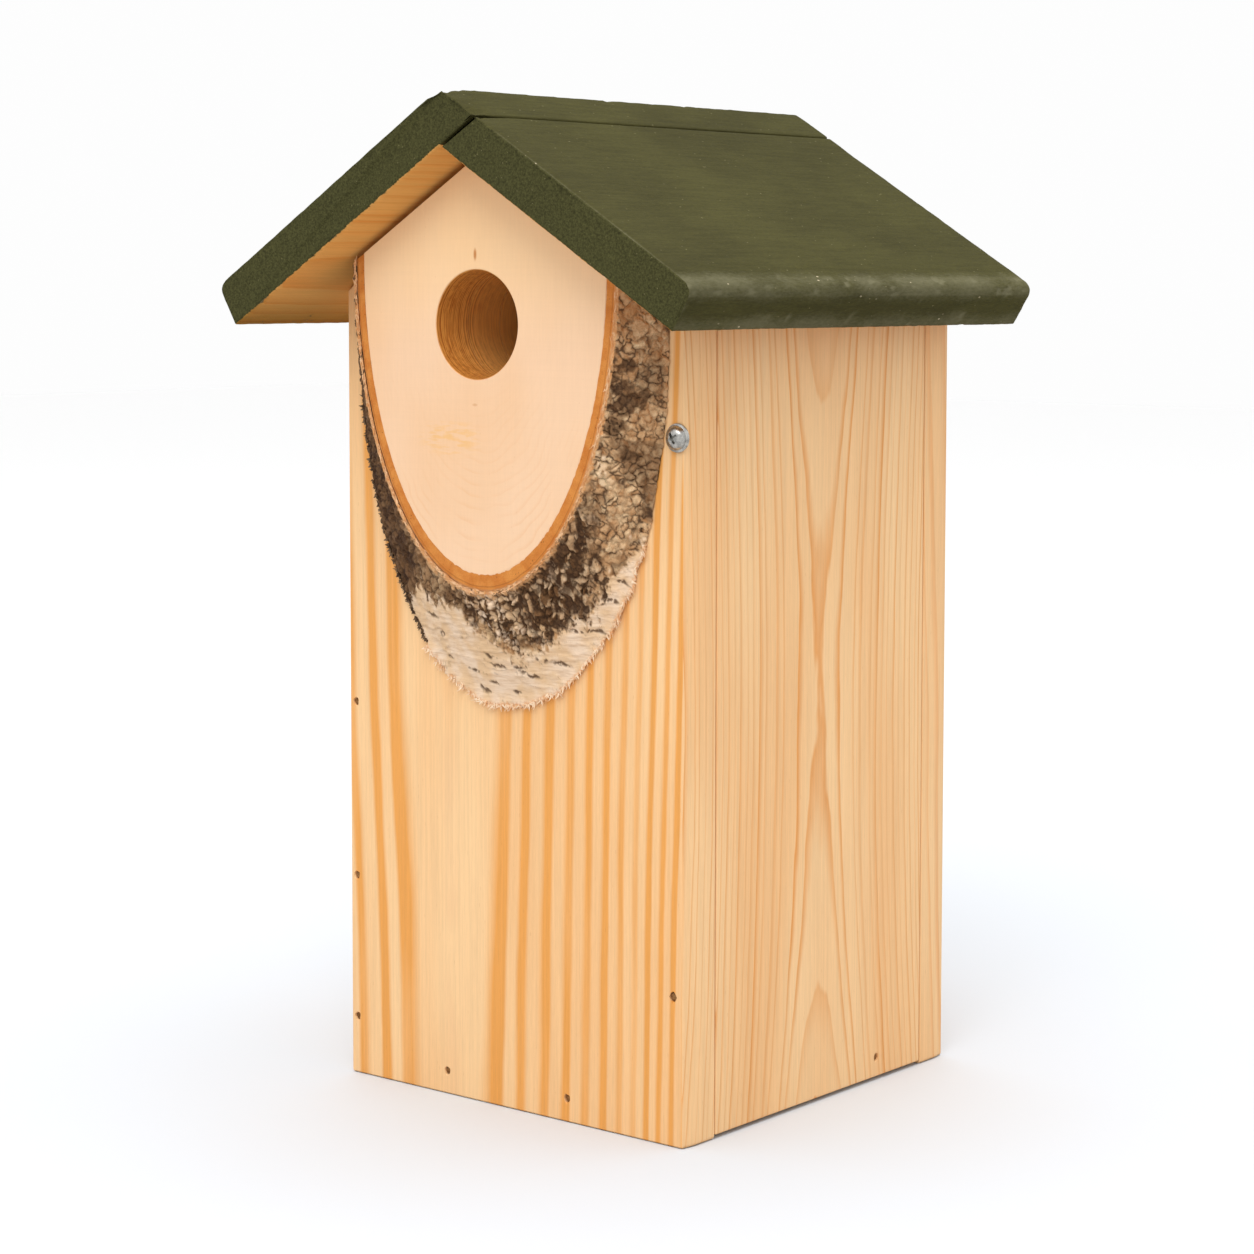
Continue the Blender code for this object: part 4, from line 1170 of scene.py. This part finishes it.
def make_inner_bark():
    """The band of inner bark round the wood, crumbly at its outer rim."""
    count, across = 520, 10
    rows, over = [], []
    for k in range(across + 1):
        t = k / across
        inset = [w * (1 - t) for w in RING_WIDTH]
        flat, angle = oval_points(0.0, inset, inset, count)
        spot = np.stack([angle * 60, np.full(count, t * 2)], 1)
        bumpy = soft_noise(spot, 0.9, 31, 3)
        y = FACE_Y + 0.00028 * bumpy + 0.00035 * rise(t, 0.86, 1.0)
        rows.append(np.stack([flat[:, 0], y, flat[:, 1]], 1))
        over.append(t)
    foot_outer, _ = oval_points(1.0, (0, 0), (BARK_ON_BOARD,) * 2, count)
    foot_inner, _ = oval_points(1.0, (0, 0), [BARK_ON_BOARD + w for w in RING_WIDTH], count)
    rows += [at_y(foot_outer, FOOT_Y), at_y(foot_inner, FOOT_Y)]
    over += [1.0, 0.0]
    sections = [[rows[k][i] for k in range(len(rows))] for i in range(count)]
    band = new_piece("inner_bark_band", *loft(sections), FIXED)
    paint_points(band, "across", np.tile(over, count))
    finish_piece(band, FINISH["inner_bark"], "inner_bark", "slice_inner_bark")


def bark_zone(angle, share, warp, streak):
    """How black and how papery the bark is, by angle in degrees and share of its height."""
    black_to = np.interp(angle, *zip(*BLACK_DOWN_TO))
    paper_from = np.interp(angle, *zip(*PAPER_FROM))
    black = 1 - rise(share + warp * 0.40 + streak * 0.55, black_to - 0.05, black_to + 0.05)
    black *= rise(angle + streak * 12, 254, 262) * (1 - rise(angle + warp * 24, 311, 322))
    network = rise(angle, 258, 264) * (1 - rise(angle, 280, 288))
    paper = rise(share - warp * 0.30 - streak * 0.35, paper_from - 0.04, paper_from + 0.04)
    return black, network, paper * (1 - 0.95 * black)


BLACK_DOWN_TO = ((250, 0.0), (258, 0.16), (262, 0.30), (268, 0.30), (276, 0.48), (284, 0.50), (292, 0.56),
                 (299, 0.52), (306, 0.64), (313, 0.72), (317, 0.50), (321, 0.10))
PAPER_FROM = ((205, 1.6), (226, 1.25), (232, 0.80), (238, 0.42), (246, 0.34), (256, 0.20), (262, 0.30),
              (276, 0.50), (284, 0.54), (292, 0.58), (299, 0.56), (306, 0.70), (313, 0.72), (318, 0.74),
              (323, 0.84), (328, 0.97), (333, 1.3))
LENTICELS = (  # angle, share of height, half length mm
    (242, 0.62, 3.2), (248, 0.88, 1.6), (256, 0.52, 1.2), (258, 0.80, 2.4), (262, 0.93, 2.2),
    (267, 0.58, 2.6), (269, 0.66, 3.6), (266, 0.84, 2.2), (277, 0.68, 1.4), (280, 0.77, 4.2),
    (286, 0.70, 2.2), (292, 0.83, 2.6), (300, 0.72, 2.0), (306, 0.90, 2.6), (313, 0.86, 1.6),
    (318, 0.90, 1.4), (246, 0.70, 1.2), (274, 0.90, 1.3),
)


PALE_SPOTS = ((46.0, 196.6, 3.8), (47.0, 192.0, 2.2), (41.9, 186.4, 1.9))  # x, z and radius, mm
DARK_SPOTS = ((53.5, 215.0, 4.6), (50.0, 208.5, 2.6), (55.0, 226.0, 2.4))


def spots(point, warp, places):
    """1 inside ragged spots on the bark, 0 outside them."""
    found = np.zeros(len(point))
    for x, z, radius in places:
        away = np.hypot(point[:, 0] - x, point[:, 2] - z) / radius + warp * 1.4
        found = np.maximum(found, 1 - rise(away, 0.65, 1.05))
    return found


def make_bark():
    """The outer bark: plates and crevices in relief, a black band, creamy paper and a torn edge."""
    along, down = 1300, 84
    share_rows = np.linspace(0, 1, down + 1)
    rows, angles = [], []
    for share in share_rows:
        flat, angle = oval_points(share, (-BARK_ON_FACE,) * 2, (0.0, 0.0), along)
        rows.append(at_y(flat, FACE_Y + (FOOT_Y - FACE_Y) * share))
        angles.append(np.degrees(angle))
    skin = np.array(rows)
    angle = np.array(angles).ravel()
    share = np.repeat(share_rows, along)
    run = np.gradient(skin, axis=1)
    fall = np.gradient(skin, axis=0)
    out = np.cross(fall.reshape(-1, 3), run.reshape(-1, 3))
    out /= np.linalg.norm(out, axis=1)[:, None]
    centre = np.array([FOOT_CENTRE_X, 0.0, FOOT_CENTRE_Z])
    away = skin.reshape(-1, 3) - centre
    away[:, 1] = 0
    if np.mean(np.sum(out * away, axis=1)) < 0:
        out = -out
    middle = down // 2
    length = np.linalg.norm(run[middle], axis=1).cumsum() / MM
    u = np.interp(angle, angles[middle], length)
    point = skin.reshape(-1, 3) / MM

    warp = soft_noise(point, 0.30, 40, 3) - 0.5
    wide_warp = soft_noise(point, 0.09, 43, 2) - 0.5
    streak = soft_noise(point * (1.0, 1.0, 0.45), 0.75, 45, 3) - 0.5
    wobble = np.stack([soft_noise(point, 0.42, seed, 3) for seed in (44, 47, 53)], 1) - 0.5
    black, network, paper = bark_zone(angle, share, warp + wide_warp * 0.5, streak)
    near, far, own = cells((point + wobble * 3.6) / 4.3, 150)
    small_near, small_far, small_own = cells((point + wobble * 2.8) / 2.5, 160)
    ridge_near, ridge_far, ridge_own = cells((point + wobble * 4.2) / np.array([2.4, 2.4, 4.0]), 170)
    joint = far - near
    small_joint = small_far - small_near
    ridge_joint = ridge_far - ridge_near
    large = rise(soft_noise(point, 0.14, 80, 2), 0.44, 0.56) > 0.5
    joint = np.where(large, joint, small_joint * 0.8)
    own = np.where(large, own, small_own)
    rough = soft_noise(point, 0.9, 90, 3)
    grit = soft_noise(point, 2.2, 92, 2)
    open_crack = 0.25 + 0.75 * rise(soft_noise(point, 0.38, 52, 2), 0.34, 0.58)
    plate_crack = (1 - rise(joint + (grit - 0.5) * 0.12, 0.01, 0.15)) * open_crack
    plate_high = rise(joint, 0.0, 0.42) * (0.40 + 0.60 * own)
    black_crack = 1 - rise(ridge_joint + (grit - 0.5) * 0.2, 0.03, 0.30)
    black_high = rise(ridge_joint, 0.0, 0.5) * (0.2 + 0.8 * ridge_own)
    layer = soft_noise(point * (0.07, 0.2, 0.42), 1.0, 95, 3)
    curl = rise(layer, 0.50, 0.56) - rise(layer, 0.56, 0.72)
    tear = np.exp(-((layer - 0.545) / 0.010) ** 2) * rise(soft_noise(point, 0.25, 97, 2), 0.45, 0.6)

    white_cell = spots(point, warp, PALE_SPOTS) * (1 - paper) * (1 - black)
    island = soft_noise(point * (1.0, 1.0, 0.5), 0.55, 48, 2) + (ridge_own - 0.5) * 0.3
    island = black * rise(island, 0.55, 0.62)
    meshed = network * black * rise(small_joint, 0.10, 0.28) * rise(small_own, 0.20, 0.30)
    crevice = (1 - paper) * ((1 - black) * plate_crack + black * black_crack * 0.85)
    crevice *= 1 - 0.6 * meshed
    high = (1 - paper) * ((1 - black) * plate_high * 0.9 + black * black_high * 1.1)
    high = high + paper * (0.50 + 0.20 * curl)
    high += rough * (0.36 - 0.30 * paper)
    edge_fade = rise(share, 0.0, 0.06) * (1 - 0.5 * rise(share, 0.90, 1.0))
    relief_mm = (high - 0.66) * 1.45 * edge_fade

    dash = tear * paper * 0.45
    angle_rows = np.array(angles)
    for mark_angle, mark_share, half in LENTICELS:
        row = int(mark_share * down)
        column = int(np.argmin(np.abs(angle_rows[row] - mark_angle)))
        spot = point[row * along + column]
        thick = 0.45 + 0.55 * scramble(np.array([[mark_angle, int(mark_share * 100)]]), 7)[0]
        beside = point[:, 0] - spot[0]
        above = point[:, 2] - spot[2] + beside * 0.18
        du = (beside + (soft_noise(point, 0.8, 110, 2) - 0.5) * 2.2) / (half * 1.2)
        dw = (above + (soft_noise(point, 0.6, 120, 2) - 0.5) * 1.7) / thick
        dash = np.maximum(dash, 1 - rise(np.hypot(du, dw), 0.50, 1.15))
    dash *= paper * rise(soft_noise(point, 1.1, 130, 2), 0.28, 0.46)
    relief_mm -= dash * 0.25

    strip = skin.reshape(-1, 3) + out * relief_mm[:, None] * MM
    strip[:, 1] = np.clip(strip[:, 1], FACE_Y - 0.0004, FOOT_Y)
    torn_edge(strip, angle, share, u, out)
    left = 1 - rise(angle + warp * 16, 228, 242)
    tone = np.clip(own * 0.62 + (rough - 0.5) * 0.9 + 0.18 + white_cell * 0.8, 0, 1)
    tone = tone * (1 - black) + black * (ridge_own * 0.5 + rough * 0.5)
    tone *= 1 - 0.6 * left
    pale_plate = white_cell * rise(joint, 0.12, 0.26) * rise(angle, 322, 328)
    paper = np.clip(paper + meshed * 0.85 + pale_plate * 0.75 + island * 0.35 * rough, 0, 1)
    deep = rise(wide_warp + warp * 0.25, 0.07, 0.17) * 0.6
    deep = np.maximum(deep, spots(point, warp * 1.6, DARK_SPOTS)) * (1 - paper)
    smudge = rise(soft_noise(point, 0.24, 54, 3), 0.55, 0.68) * (1 - paper)
    soot = black * (1 - 0.8 * island) + left * (0.55 + 0.5 * rough) + deep * 0.85 + smudge * 0.4
    soot = np.clip(soot, 0, 1)
    below = rise(angle, 225, 240) * (1 - rise(angle, 330, 345))
    ragged_lip = 0.022 + 0.05 * rise(soft_noise(point, 0.6, 56, 3), 0.45, 0.7) * below
    lip = 1 - rise(share + (rough - 0.5) * 0.05, ragged_lip * 0.4, ragged_lip)
    lip *= (1 - 0.35 * black) * rise(soft_noise(point, 0.8, 58, 2), 0.22, 0.45)
    hem = rise(share + (rough - 0.5) * 0.06, 0.965, 0.995)
    hem *= rise(angle, 248, 262) * (1 - rise(angle, 322, 330))
    lip = np.clip(lip + hem * 0.7 * rise(soft_noise(point, 0.7, 59, 2), 0.35, 0.6), 0, 1)
    zones = np.stack([np.clip(crevice, 0, 1), paper, tone, np.ones(len(u))], 1)
    marks = np.stack([soot, np.clip(dash, 0, 1) * 0.92, lip, np.ones(len(u))], 1)
    close_bark(strip.reshape(down + 1, along, 3), zones, marks, along)


def torn_edge(strip, angle, share, u, out):
    """Spread the bark's lower edge into a ragged hem lying on the board."""
    flat = np.stack([u, np.zeros(len(u))], 1)
    coarse = soft_noise(flat, 0.12, 140, 2)
    ragged = soft_noise(flat, 0.50, 150, 3)
    spiky = np.abs(soft_noise(flat, 1.15, 160, 2) - 0.5) * 2
    steps = np.floor(soft_noise(flat, 0.30, 165, 2) * 5) / 5
    zone = rise(angle, 228, 242) * (1 - rise(angle, 326, 338))
    tip = rise(angle, 236, 244) * (1 - rise(angle, 258, 276))
    reach = 0.1 + 1.5 * coarse * ragged + 1.1 * spiky + steps * rise(coarse, 0.35, 0.6)
    reach = zone * reach + 1.2 * tip
    reach += (1 - zone) * 0.45 * ragged
    calm = rise(angle, 334, 342)
    reach *= 1 - 0.8 * calm
    pull = rise(share, 0.90, 1.0) ** 1.5
    sideways = out.copy()
    sideways[:, 1] = 0
    sideways /= np.linalg.norm(sideways, axis=1)[:, None]
    strip += sideways * (reach * pull * MM)[:, None]
    lift = zone * pull * (0.25 + 0.9 * coarse * rise(ragged, 0.4, 0.7))
    strip[:, 1] -= lift * MM * 0.8


def close_bark(skin, zones, marks, along):
    """Give the bark its thickness and close it into one body."""
    inner_foot, _ = oval_points(1.0, (0, 0), (BARK_ON_BOARD - BARREL_GAP,) * 2, along)
    inner_face, _ = oval_points(0.0, (-BARREL_GAP,) * 2, (0, 0), along)
    under = skin[-1].copy()
    under[:, 1] = FOOT_Y
    middle = (under + at_y(inner_foot, FOOT_Y)) / 2
    rows = list(skin) + [under, middle, at_y(inner_foot, FOOT_Y), at_y(inner_face, FACE_Y + 0.0002)]
    sections = [[rows[k][i] for k in range(len(rows))] for i in range(along)]
    bark = new_piece("birch_bark_rind", *loft(sections), FIXED, crease=70)
    down = len(skin)
    for name, values in (("zones", zones), ("marks", marks)):
        grid = values.reshape(down, along, 4)
        last, first = grid[-1], grid[0]
        full = np.stack(list(grid) + [last, last, last, first], 0)
        paint_points(bark, name, full.transpose(1, 0, 2).reshape(-1, 4))
    finish_piece(bark, FINISH["bark"], "birch_bark", "slice_bark")
    make_fringes(skin)


def sliver(root, heading, lift, length, width, bend, sides=4, steps=5):
    """A thin torn strip that tapers from its root and curls."""
    side = heading.cross(lift).normalized()
    rings = []
    for k in range(steps):
        t = k / (steps - 1)
        curl = bend * length * t * t
        centre = root + heading * length * t + lift * curl + side * curl * 0.4
        half = width * (1 - 0.85 * t) / 2
        thin = half * 0.35 + 0.00002
        rings.append([
            centre + side * half * math.cos(a) + lift * thin * math.sin(a)
            for a in (2 * math.pi * (j + 0.5) / sides for j in range(sides))
        ])
    return loft(rings)


def gather(parts):
    """One mesh from many small bodies."""
    verts, faces = [], []
    for part_verts, part_faces in parts:
        start = len(verts)
        verts += part_verts
        faces += [tuple(start + i for i in face) for face in part_faces]
    return verts, faces


def make_fringes(skin):
    """Loose fibres along the torn hem, and dark flakes down the left edge."""
    rng = np.random.default_rng(12)
    count = skin.shape[1]
    centre = Vector((FOOT_CENTRE_X, 0.0, FOOT_CENTRE_Z))
    hem, flakes = [], []
    out_of_board = Vector((0.0, -1.0, 0.0))
    for _ in range(620):
        i = int(rng.integers(0, count - 2))
        root = Vector(skin[-1][i])
        up, across = (root.z - centre.z) / FOOT_SEMI[1], (root.x - centre.x) / FOOT_SEMI[0]
        spread = math.degrees(math.atan2(up, across)) % 360
        heading = root - centre
        heading.y = 0
        heading.normalize()
        tangent = Vector(skin[-1][i + 1]) - root
        tangent.y = 0
        tangent.normalize()
        direction = (heading * rng.uniform(0.35, 1.0) + tangent * rng.uniform(-0.9, 0.9)).normalized()
        root = root - heading * 0.0005 + out_of_board * rng.uniform(0.0002, 0.0007)
        length, width, bend = rng.uniform(0.0008, 0.0022), rng.uniform(0.0004, 0.0013), rng.uniform(0.0, 0.6)
        if 238 < spread < 328:
            hem.append(sliver(root, direction, out_of_board, length, width, bend))
        elif 190 < spread <= 238:
            flakes.append(sliver(root, direction, out_of_board, length * 0.6, width * 1.6, abs(bend)))
    torn = new_piece("torn_bark_fibres", *gather(hem), FIXED)
    finish_piece(torn, FINISH["fibre"], "birch_bark")
    dark = new_piece("dark_bark_flakes", *gather(flakes), FIXED)
    finish_piece(dark, FINISH["flake"], "birch_bark")
    rim = []
    for _ in range(700):
        i = int(rng.integers(0, count - 2))
        root = Vector(skin[0][i])
        heading = root - Vector((FACE_CENTRE_X, 0.0, FACE_CENTRE_Z))
        heading.y = 0
        heading.normalize()
        tangent = (Vector(skin[0][i + 1]) - root).normalized()
        direction = (tangent * rng.choice((-1, 1)) + heading * rng.uniform(-0.5, 0.6)).normalized()
        root = root - heading * rng.uniform(0.0003, 0.0013) + out_of_board * 0.0001
        length, width = rng.uniform(0.0006, 0.0022), rng.uniform(0.0002, 0.0006)
        rim.append(sliver(root, direction, out_of_board, length, width, 0.08))
    paper = new_piece("papery_rim_shreds", *gather(rim), FIXED)
    finish_piece(paper, FINISH["shred"], "inner_bark")


# ---- metal parts --------------------------------------------------------------------------------
def cross(place, arm, half, depth):
    """The driver's cross as a solid that narrows with depth."""
    rings = []
    for z, scale in ((-depth, 0.45), (-depth * 0.35, 0.85), (0.0002, 1.0), (0.0014, 1.0)):
        a, h = arm * scale, half * (0.6 + 0.4 * scale)
        arm_end = [(a, -h), (a, h), (h, h)]
        plan = arm_end + [(-y, x) for x, y in arm_end] + [(-x, -y) for x, y in arm_end]
        plan += [(y, -x) for x, y in arm_end]
        rings.append([place @ Vector((x, y, z)) for x, y in plan])
    return loft(rings)


def make_pivot_screws():
    """A pan-head screw in front; at the back a headless one, set below the face."""
    low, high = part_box("pivot_screw_front")
    radius = (high.x - low.x) / 2
    seat = Vector(((low.x + high.x) / 2, low.y + PAN_HEIGHT, (low.z + high.z) / 2))
    profile = screw_tip(high.y - seat.y)
    profile += [(radius - 0.0001, 0.0), (radius, 0.00012), (radius, 0.00042), (radius - 0.00012, 0.00055)]
    dome = radius * 0.83
    profile += [(dome + 0.00018, 0.00060), (dome, 0.00072)]
    for k in range(1, 13):
        turn = math.pi / 2 * k / 13
        profile.append((dome * math.cos(turn) ** 0.85, 0.00072 + (PAN_HEIGHT - 0.00072) * math.sin(turn)))
    profile.append((0.0002, PAN_HEIGHT))
    pivot_screw("front", seat, -1, PAN_HEIGHT, profile, (0.0019, 0.00042, 0.0015))

    low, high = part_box("pivot_screw_back")
    seat = Vector(((low.x + high.x) / 2, high.y, (low.z + high.z) / 2))
    profile = screw_tip(high.y - low.y)
    profile[-1] = (PIVOT_SHANK_R, -0.0003)
    profile += [(PIVOT_SHANK_R - 0.0003, 0.0), (0.0002, 0.0)]
    pivot_screw("back", seat, 1, 0.0, profile, (0.0010, 0.00028, 0.0010))


def screw_tip(length):
    """The shank's profile from its point up to the seat."""
    point = [(0.0004, -length), (0.0011, -length + 0.0016)]
    return point + [(PIVOT_SHANK_R, -length + 0.005), (PIVOT_SHANK_R, 0.0)]


def pivot_screw(word, seat, side, crown, profile, recess):
    """One turned screw with a driver's cross; the side is the way its crown faces along Y."""
    out = Vector((0, side, 0))
    screw = new_piece("pivot_screw_%s_turned" % word, *turned(profile, aim(seat, out), ROUND), SWINGING)
    place = aim(seat + out * crown, out) @ Matrix.Rotation(math.radians(28), 4, "Z")
    carve(screw, *cross(place, *recess))
    crisp(screw, 32)
    finish_piece(screw, FINISH["screw"], "bright_screw", "pivot_screw_" + word)


def make_hanger():
    """The zinc plate on the back with its keyhole and two countersunk holes."""
    low, high, middle = span("hanger_plate")
    outline = soft_outline(rectangle(low, high), [0.006] * 4, 0.01)
    plate = new_piece("keyhole_plate", *loft(board_rings(outline, low.y, high.y, 0.0003, 0.01)), FIXED)
    slot_top = middle.z + KEYHOLE_RISE
    rings = []
    for y in (low.y - MM, high.y + MM):
        ring = []
        for k in range(17):
            angle = math.pi * k / 16
            ring.append((KEYHOLE_SLOT_R * math.cos(angle), y, slot_top + KEYHOLE_SLOT_R * math.sin(angle)))
        opening = math.acos(KEYHOLE_SLOT_R / KEYHOLE_R)
        for k in range(33):
            angle = math.pi - opening + (math.pi + 2 * opening) * k / 32
            ring.append((KEYHOLE_R * math.cos(angle), y, middle.z + KEYHOLE_R * math.sin(angle)))
        rings.append(ring)
    carve(plate, *loft(rings))
    for node in ("hanger_screw_lower", "hanger_screw_upper"):
        sunk(plate, node, high.y, HANGER_SCREW_HOLE_R, 0.006)
    crisp(plate)
    finish_piece(plate, FINISH["zinc"], "zinc_plate", "hanger_plate")


def dress_frame_nodes():
    """Screws and brads kept from the frame take their finish here."""
    for name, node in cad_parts.items():
        if node.hide_render:
            continue
        if name.startswith("brad") or name == "stop_pin":
            finish_piece(node, FINISH["brad"], "brad_steel")
        else:
            finish_piece(node, FINISH["screw"], "bright_screw")


# ---- studio -------------------------------------------------------------------------------------
def make_studio():
    """A plain white floor, a soft white surround and the softboxes."""
    scene = bpy.context.scene
    scene.view_settings.view_transform = "Standard"
    world = bpy.data.worlds.new("studio")
    world.use_nodes = True
    backdrop = world.node_tree.nodes["Background"]
    backdrop.inputs["Color"].default_value = (1.0, 1.0, 1.0, 1.0)
    backdrop.inputs["Strength"].default_value = SKY_STRENGTH
    scene.world = world
    half = FLOOR_SIZE / 2
    mesh = bpy.data.meshes.new("studio_floor")
    corners = [(-half, -half, 0), (half, -half, 0), (half, half, 0), (-half, half, 0)]
    mesh.from_pydata(corners, [], [(0, 1, 2, 3)])
    floor = bpy.data.objects.new("studio_floor", mesh)
    floor.location.z = -0.0002
    scene.collection.objects.link(floor)
    plain = {"Roughness": 0.7, "Specular IOR Level": 0.1}
    material, nodes, shader, place = start_material("studio_white", plain)
    seen = nodes.add("ShaderNodeLightPath").outputs["Is Camera Ray"]
    away = nodes.add("ShaderNodeVectorMath", {0: place}, operation="LENGTH").outputs["Value"]
    white = nodes.mix(nodes.rise(away, 0.20, 1.6, smooth=False), FLOOR_NEAR, FLOOR_FAR)
    feed(nodes, shader, {"Base Color": nodes.mix(seen, FLOOR_BOUNCE, white)})
    mesh.materials.append(material)
    for number, (place, size, watts) in enumerate(SOFTBOXES):
        light = bpy.data.lights.new("softbox_%d" % number, "AREA")
        light.shape = "DISK"
        light.size = size
        light.energy = watts
        lamp = bpy.data.objects.new(light.name, light)
        lamp.location = place
        lamp.rotation_euler = (Vector((0, 0, 0.15)) - Vector(place)).to_track_quat("-Z", "Y").to_euler()
        scene.collection.objects.link(lamp)


def make_camera():
    cosine, sine = math.cos(EYE_TILT), math.sin(EYE_TILT)
    ahead = Vector((-math.sin(EYE_TURN) * cosine, math.cos(EYE_TURN) * cosine, -sine))
    right = Vector((math.cos(EYE_TURN), math.sin(EYE_TURN), 0.0))
    up = right.cross(ahead)
    rolled_right = right * math.cos(EYE_ROLL) + up * math.sin(EYE_ROLL)
    rolled_up = -right * math.sin(EYE_ROLL) + up * math.cos(EYE_ROLL)
    data = bpy.data.cameras.new("camera")
    data.lens = LENS
    data.sensor_width = SENSOR
    data.shift_x, data.shift_y = SHIFT
    data.clip_start, data.clip_end = 0.05, 50.0
    camera = bpy.data.objects.new("camera", data)
    turn = Matrix((rolled_right, rolled_up, -ahead)).transposed().to_4x4()
    camera.matrix_world = Matrix.Translation(EYE) @ turn
    bpy.context.scene.collection.objects.link(camera)
    bpy.context.scene.camera = camera


# ---- finishes -----------------------------------------------------------------------------------
PINE = make_pine_group()
STAIN = make_stain_group()
BORE = make_bore_group()
METAL = make_metal_group()

X, Y, Z = 0, 1, 2
SIDE_GRAIN = {
    "Pith Across": -2.0, "Pith Depth": -34.0, "Ring Width": 2.3, "Taper": 0.0,
    "Bow": -0.00028, "Wander": 2.6, "Late Start": 0.55, "Late Strength": 1.05, "Ring Seed": 43.0,
    "Line Color": tint(230, 156, 82),
}
FINISH = {
    "front": pine("pine_front", (X, Y, Z), {
        "Pith Across": -24.0, "Pith Depth": 37.5, "Ring Width": 24.3, "Crowding": 0.0248, "Taper": 0.024,
        "Wander": 4.5, "Late Start": 0.34, "Late Strength": 1.45, "Ring Seed": 3.0, "Heart Stain": 0.10,
        "Uneven": 0.0, "Ring Shift": 0.39, "Heart Gap": 0.34, "Late Peak": 0.60, "Late Hold": 0.80,
        "Line Color": tint(236, 164, 82),
    }, True, SIDE_GRAIN),
    "collar": pine("pine_entrance_collar", (X, Y, Z), {
        "Pith Across": 5.0, "Pith Depth": 90.0, "Ring Width": 3.2, "Late Start": 0.45,
        "Late Strength": 0.8, "Ring Seed": 29.0,
    }, True),
    "back": pine("pine_back", (X, Y, Z), {
        "Pith Across": 12.0, "Pith Depth": -28.0, "Ring Width": 4.6, "Crowding": 0.003, "Taper": -0.02,
        "Wander": 6.0, "Late Start": 0.45, "Late Strength": 0.85, "Ring Seed": 11.0, "Heart Stain": 0.3,
    }),
    "left": pine("pine_left_side", (Y, X, Z), {
        "Pith Across": 18.0, "Pith Depth": 105.0, "Ring Width": 2.8,
        "Wander": 5.0, "Late Start": 0.5, "Late Strength": 0.8, "Ring Seed": 23.0, "Heart Stain": 0.2,
    }),
    "door": pine("pine_swinging_side", (Y, X, Z), SIDE_GRAIN),
    "floor": pine("pine_nest_floor", (Y, Z, X), {
        "Pith Across": 0.0, "Pith Depth": 40.0, "Ring Width": 3.0,
        "Wander": 5.0, "Late Start": 0.5, "Late Strength": 0.8, "Ring Seed": 57.0, "Heart Stain": 0.2,
    }),
    "roof_left": stained("stained_roof_left", {
        "Pith Across": -40.0, "Pith Depth": -220.0, "Ring Width": 3.4, "Taper": 0.02, "Ring Seed": 63.0,
        "Late Strength": 0.5,
    }),
    "roof_right": stained("stained_roof_right", {
        "Pith Across": 50.0, "Pith Depth": -220.0, "Ring Width": 3.0, "Taper": -0.02, "Ring Seed": 71.0,
        "Late Strength": 0.5,
    }),
    "birch": birch_face(),
    "inner_bark": inner_bark_finish(),
    "bark": birch_bark_finish(),
    "fibre": torn_fibre_finish("torn_fibre_cream", tint(250, 226, 196), tint(228, 180, 134)),
    "flake": torn_fibre_finish("bark_flake_dark", tint(122, 98, 74), tint(78, 58, 42)),
    "shred": torn_fibre_finish("papery_shred_pale", tint(240, 196, 150), tint(222, 158, 98)),
    "screw": metal("bright_zinc_screw", tint(208, 206, 200), tint(156, 155, 152), 0.20),
    "brad": metal("dull_brad_steel", tint(176, 134, 88), tint(130, 92, 56), 0.55),
    "zinc": spangled_zinc(),
}

gable_board("front_board_pine", "front_board", FINISH["front"], True)
gable_board("back_board_pine", "back_board", FINISH["back"], False)
make_sides()
make_floor_board()
make_entrance_collar()
make_roof()
make_slice_wood()
make_inner_bark()
make_bark()
make_pivot_screws()
make_hanger()
dress_frame_nodes()
make_studio()
make_camera()
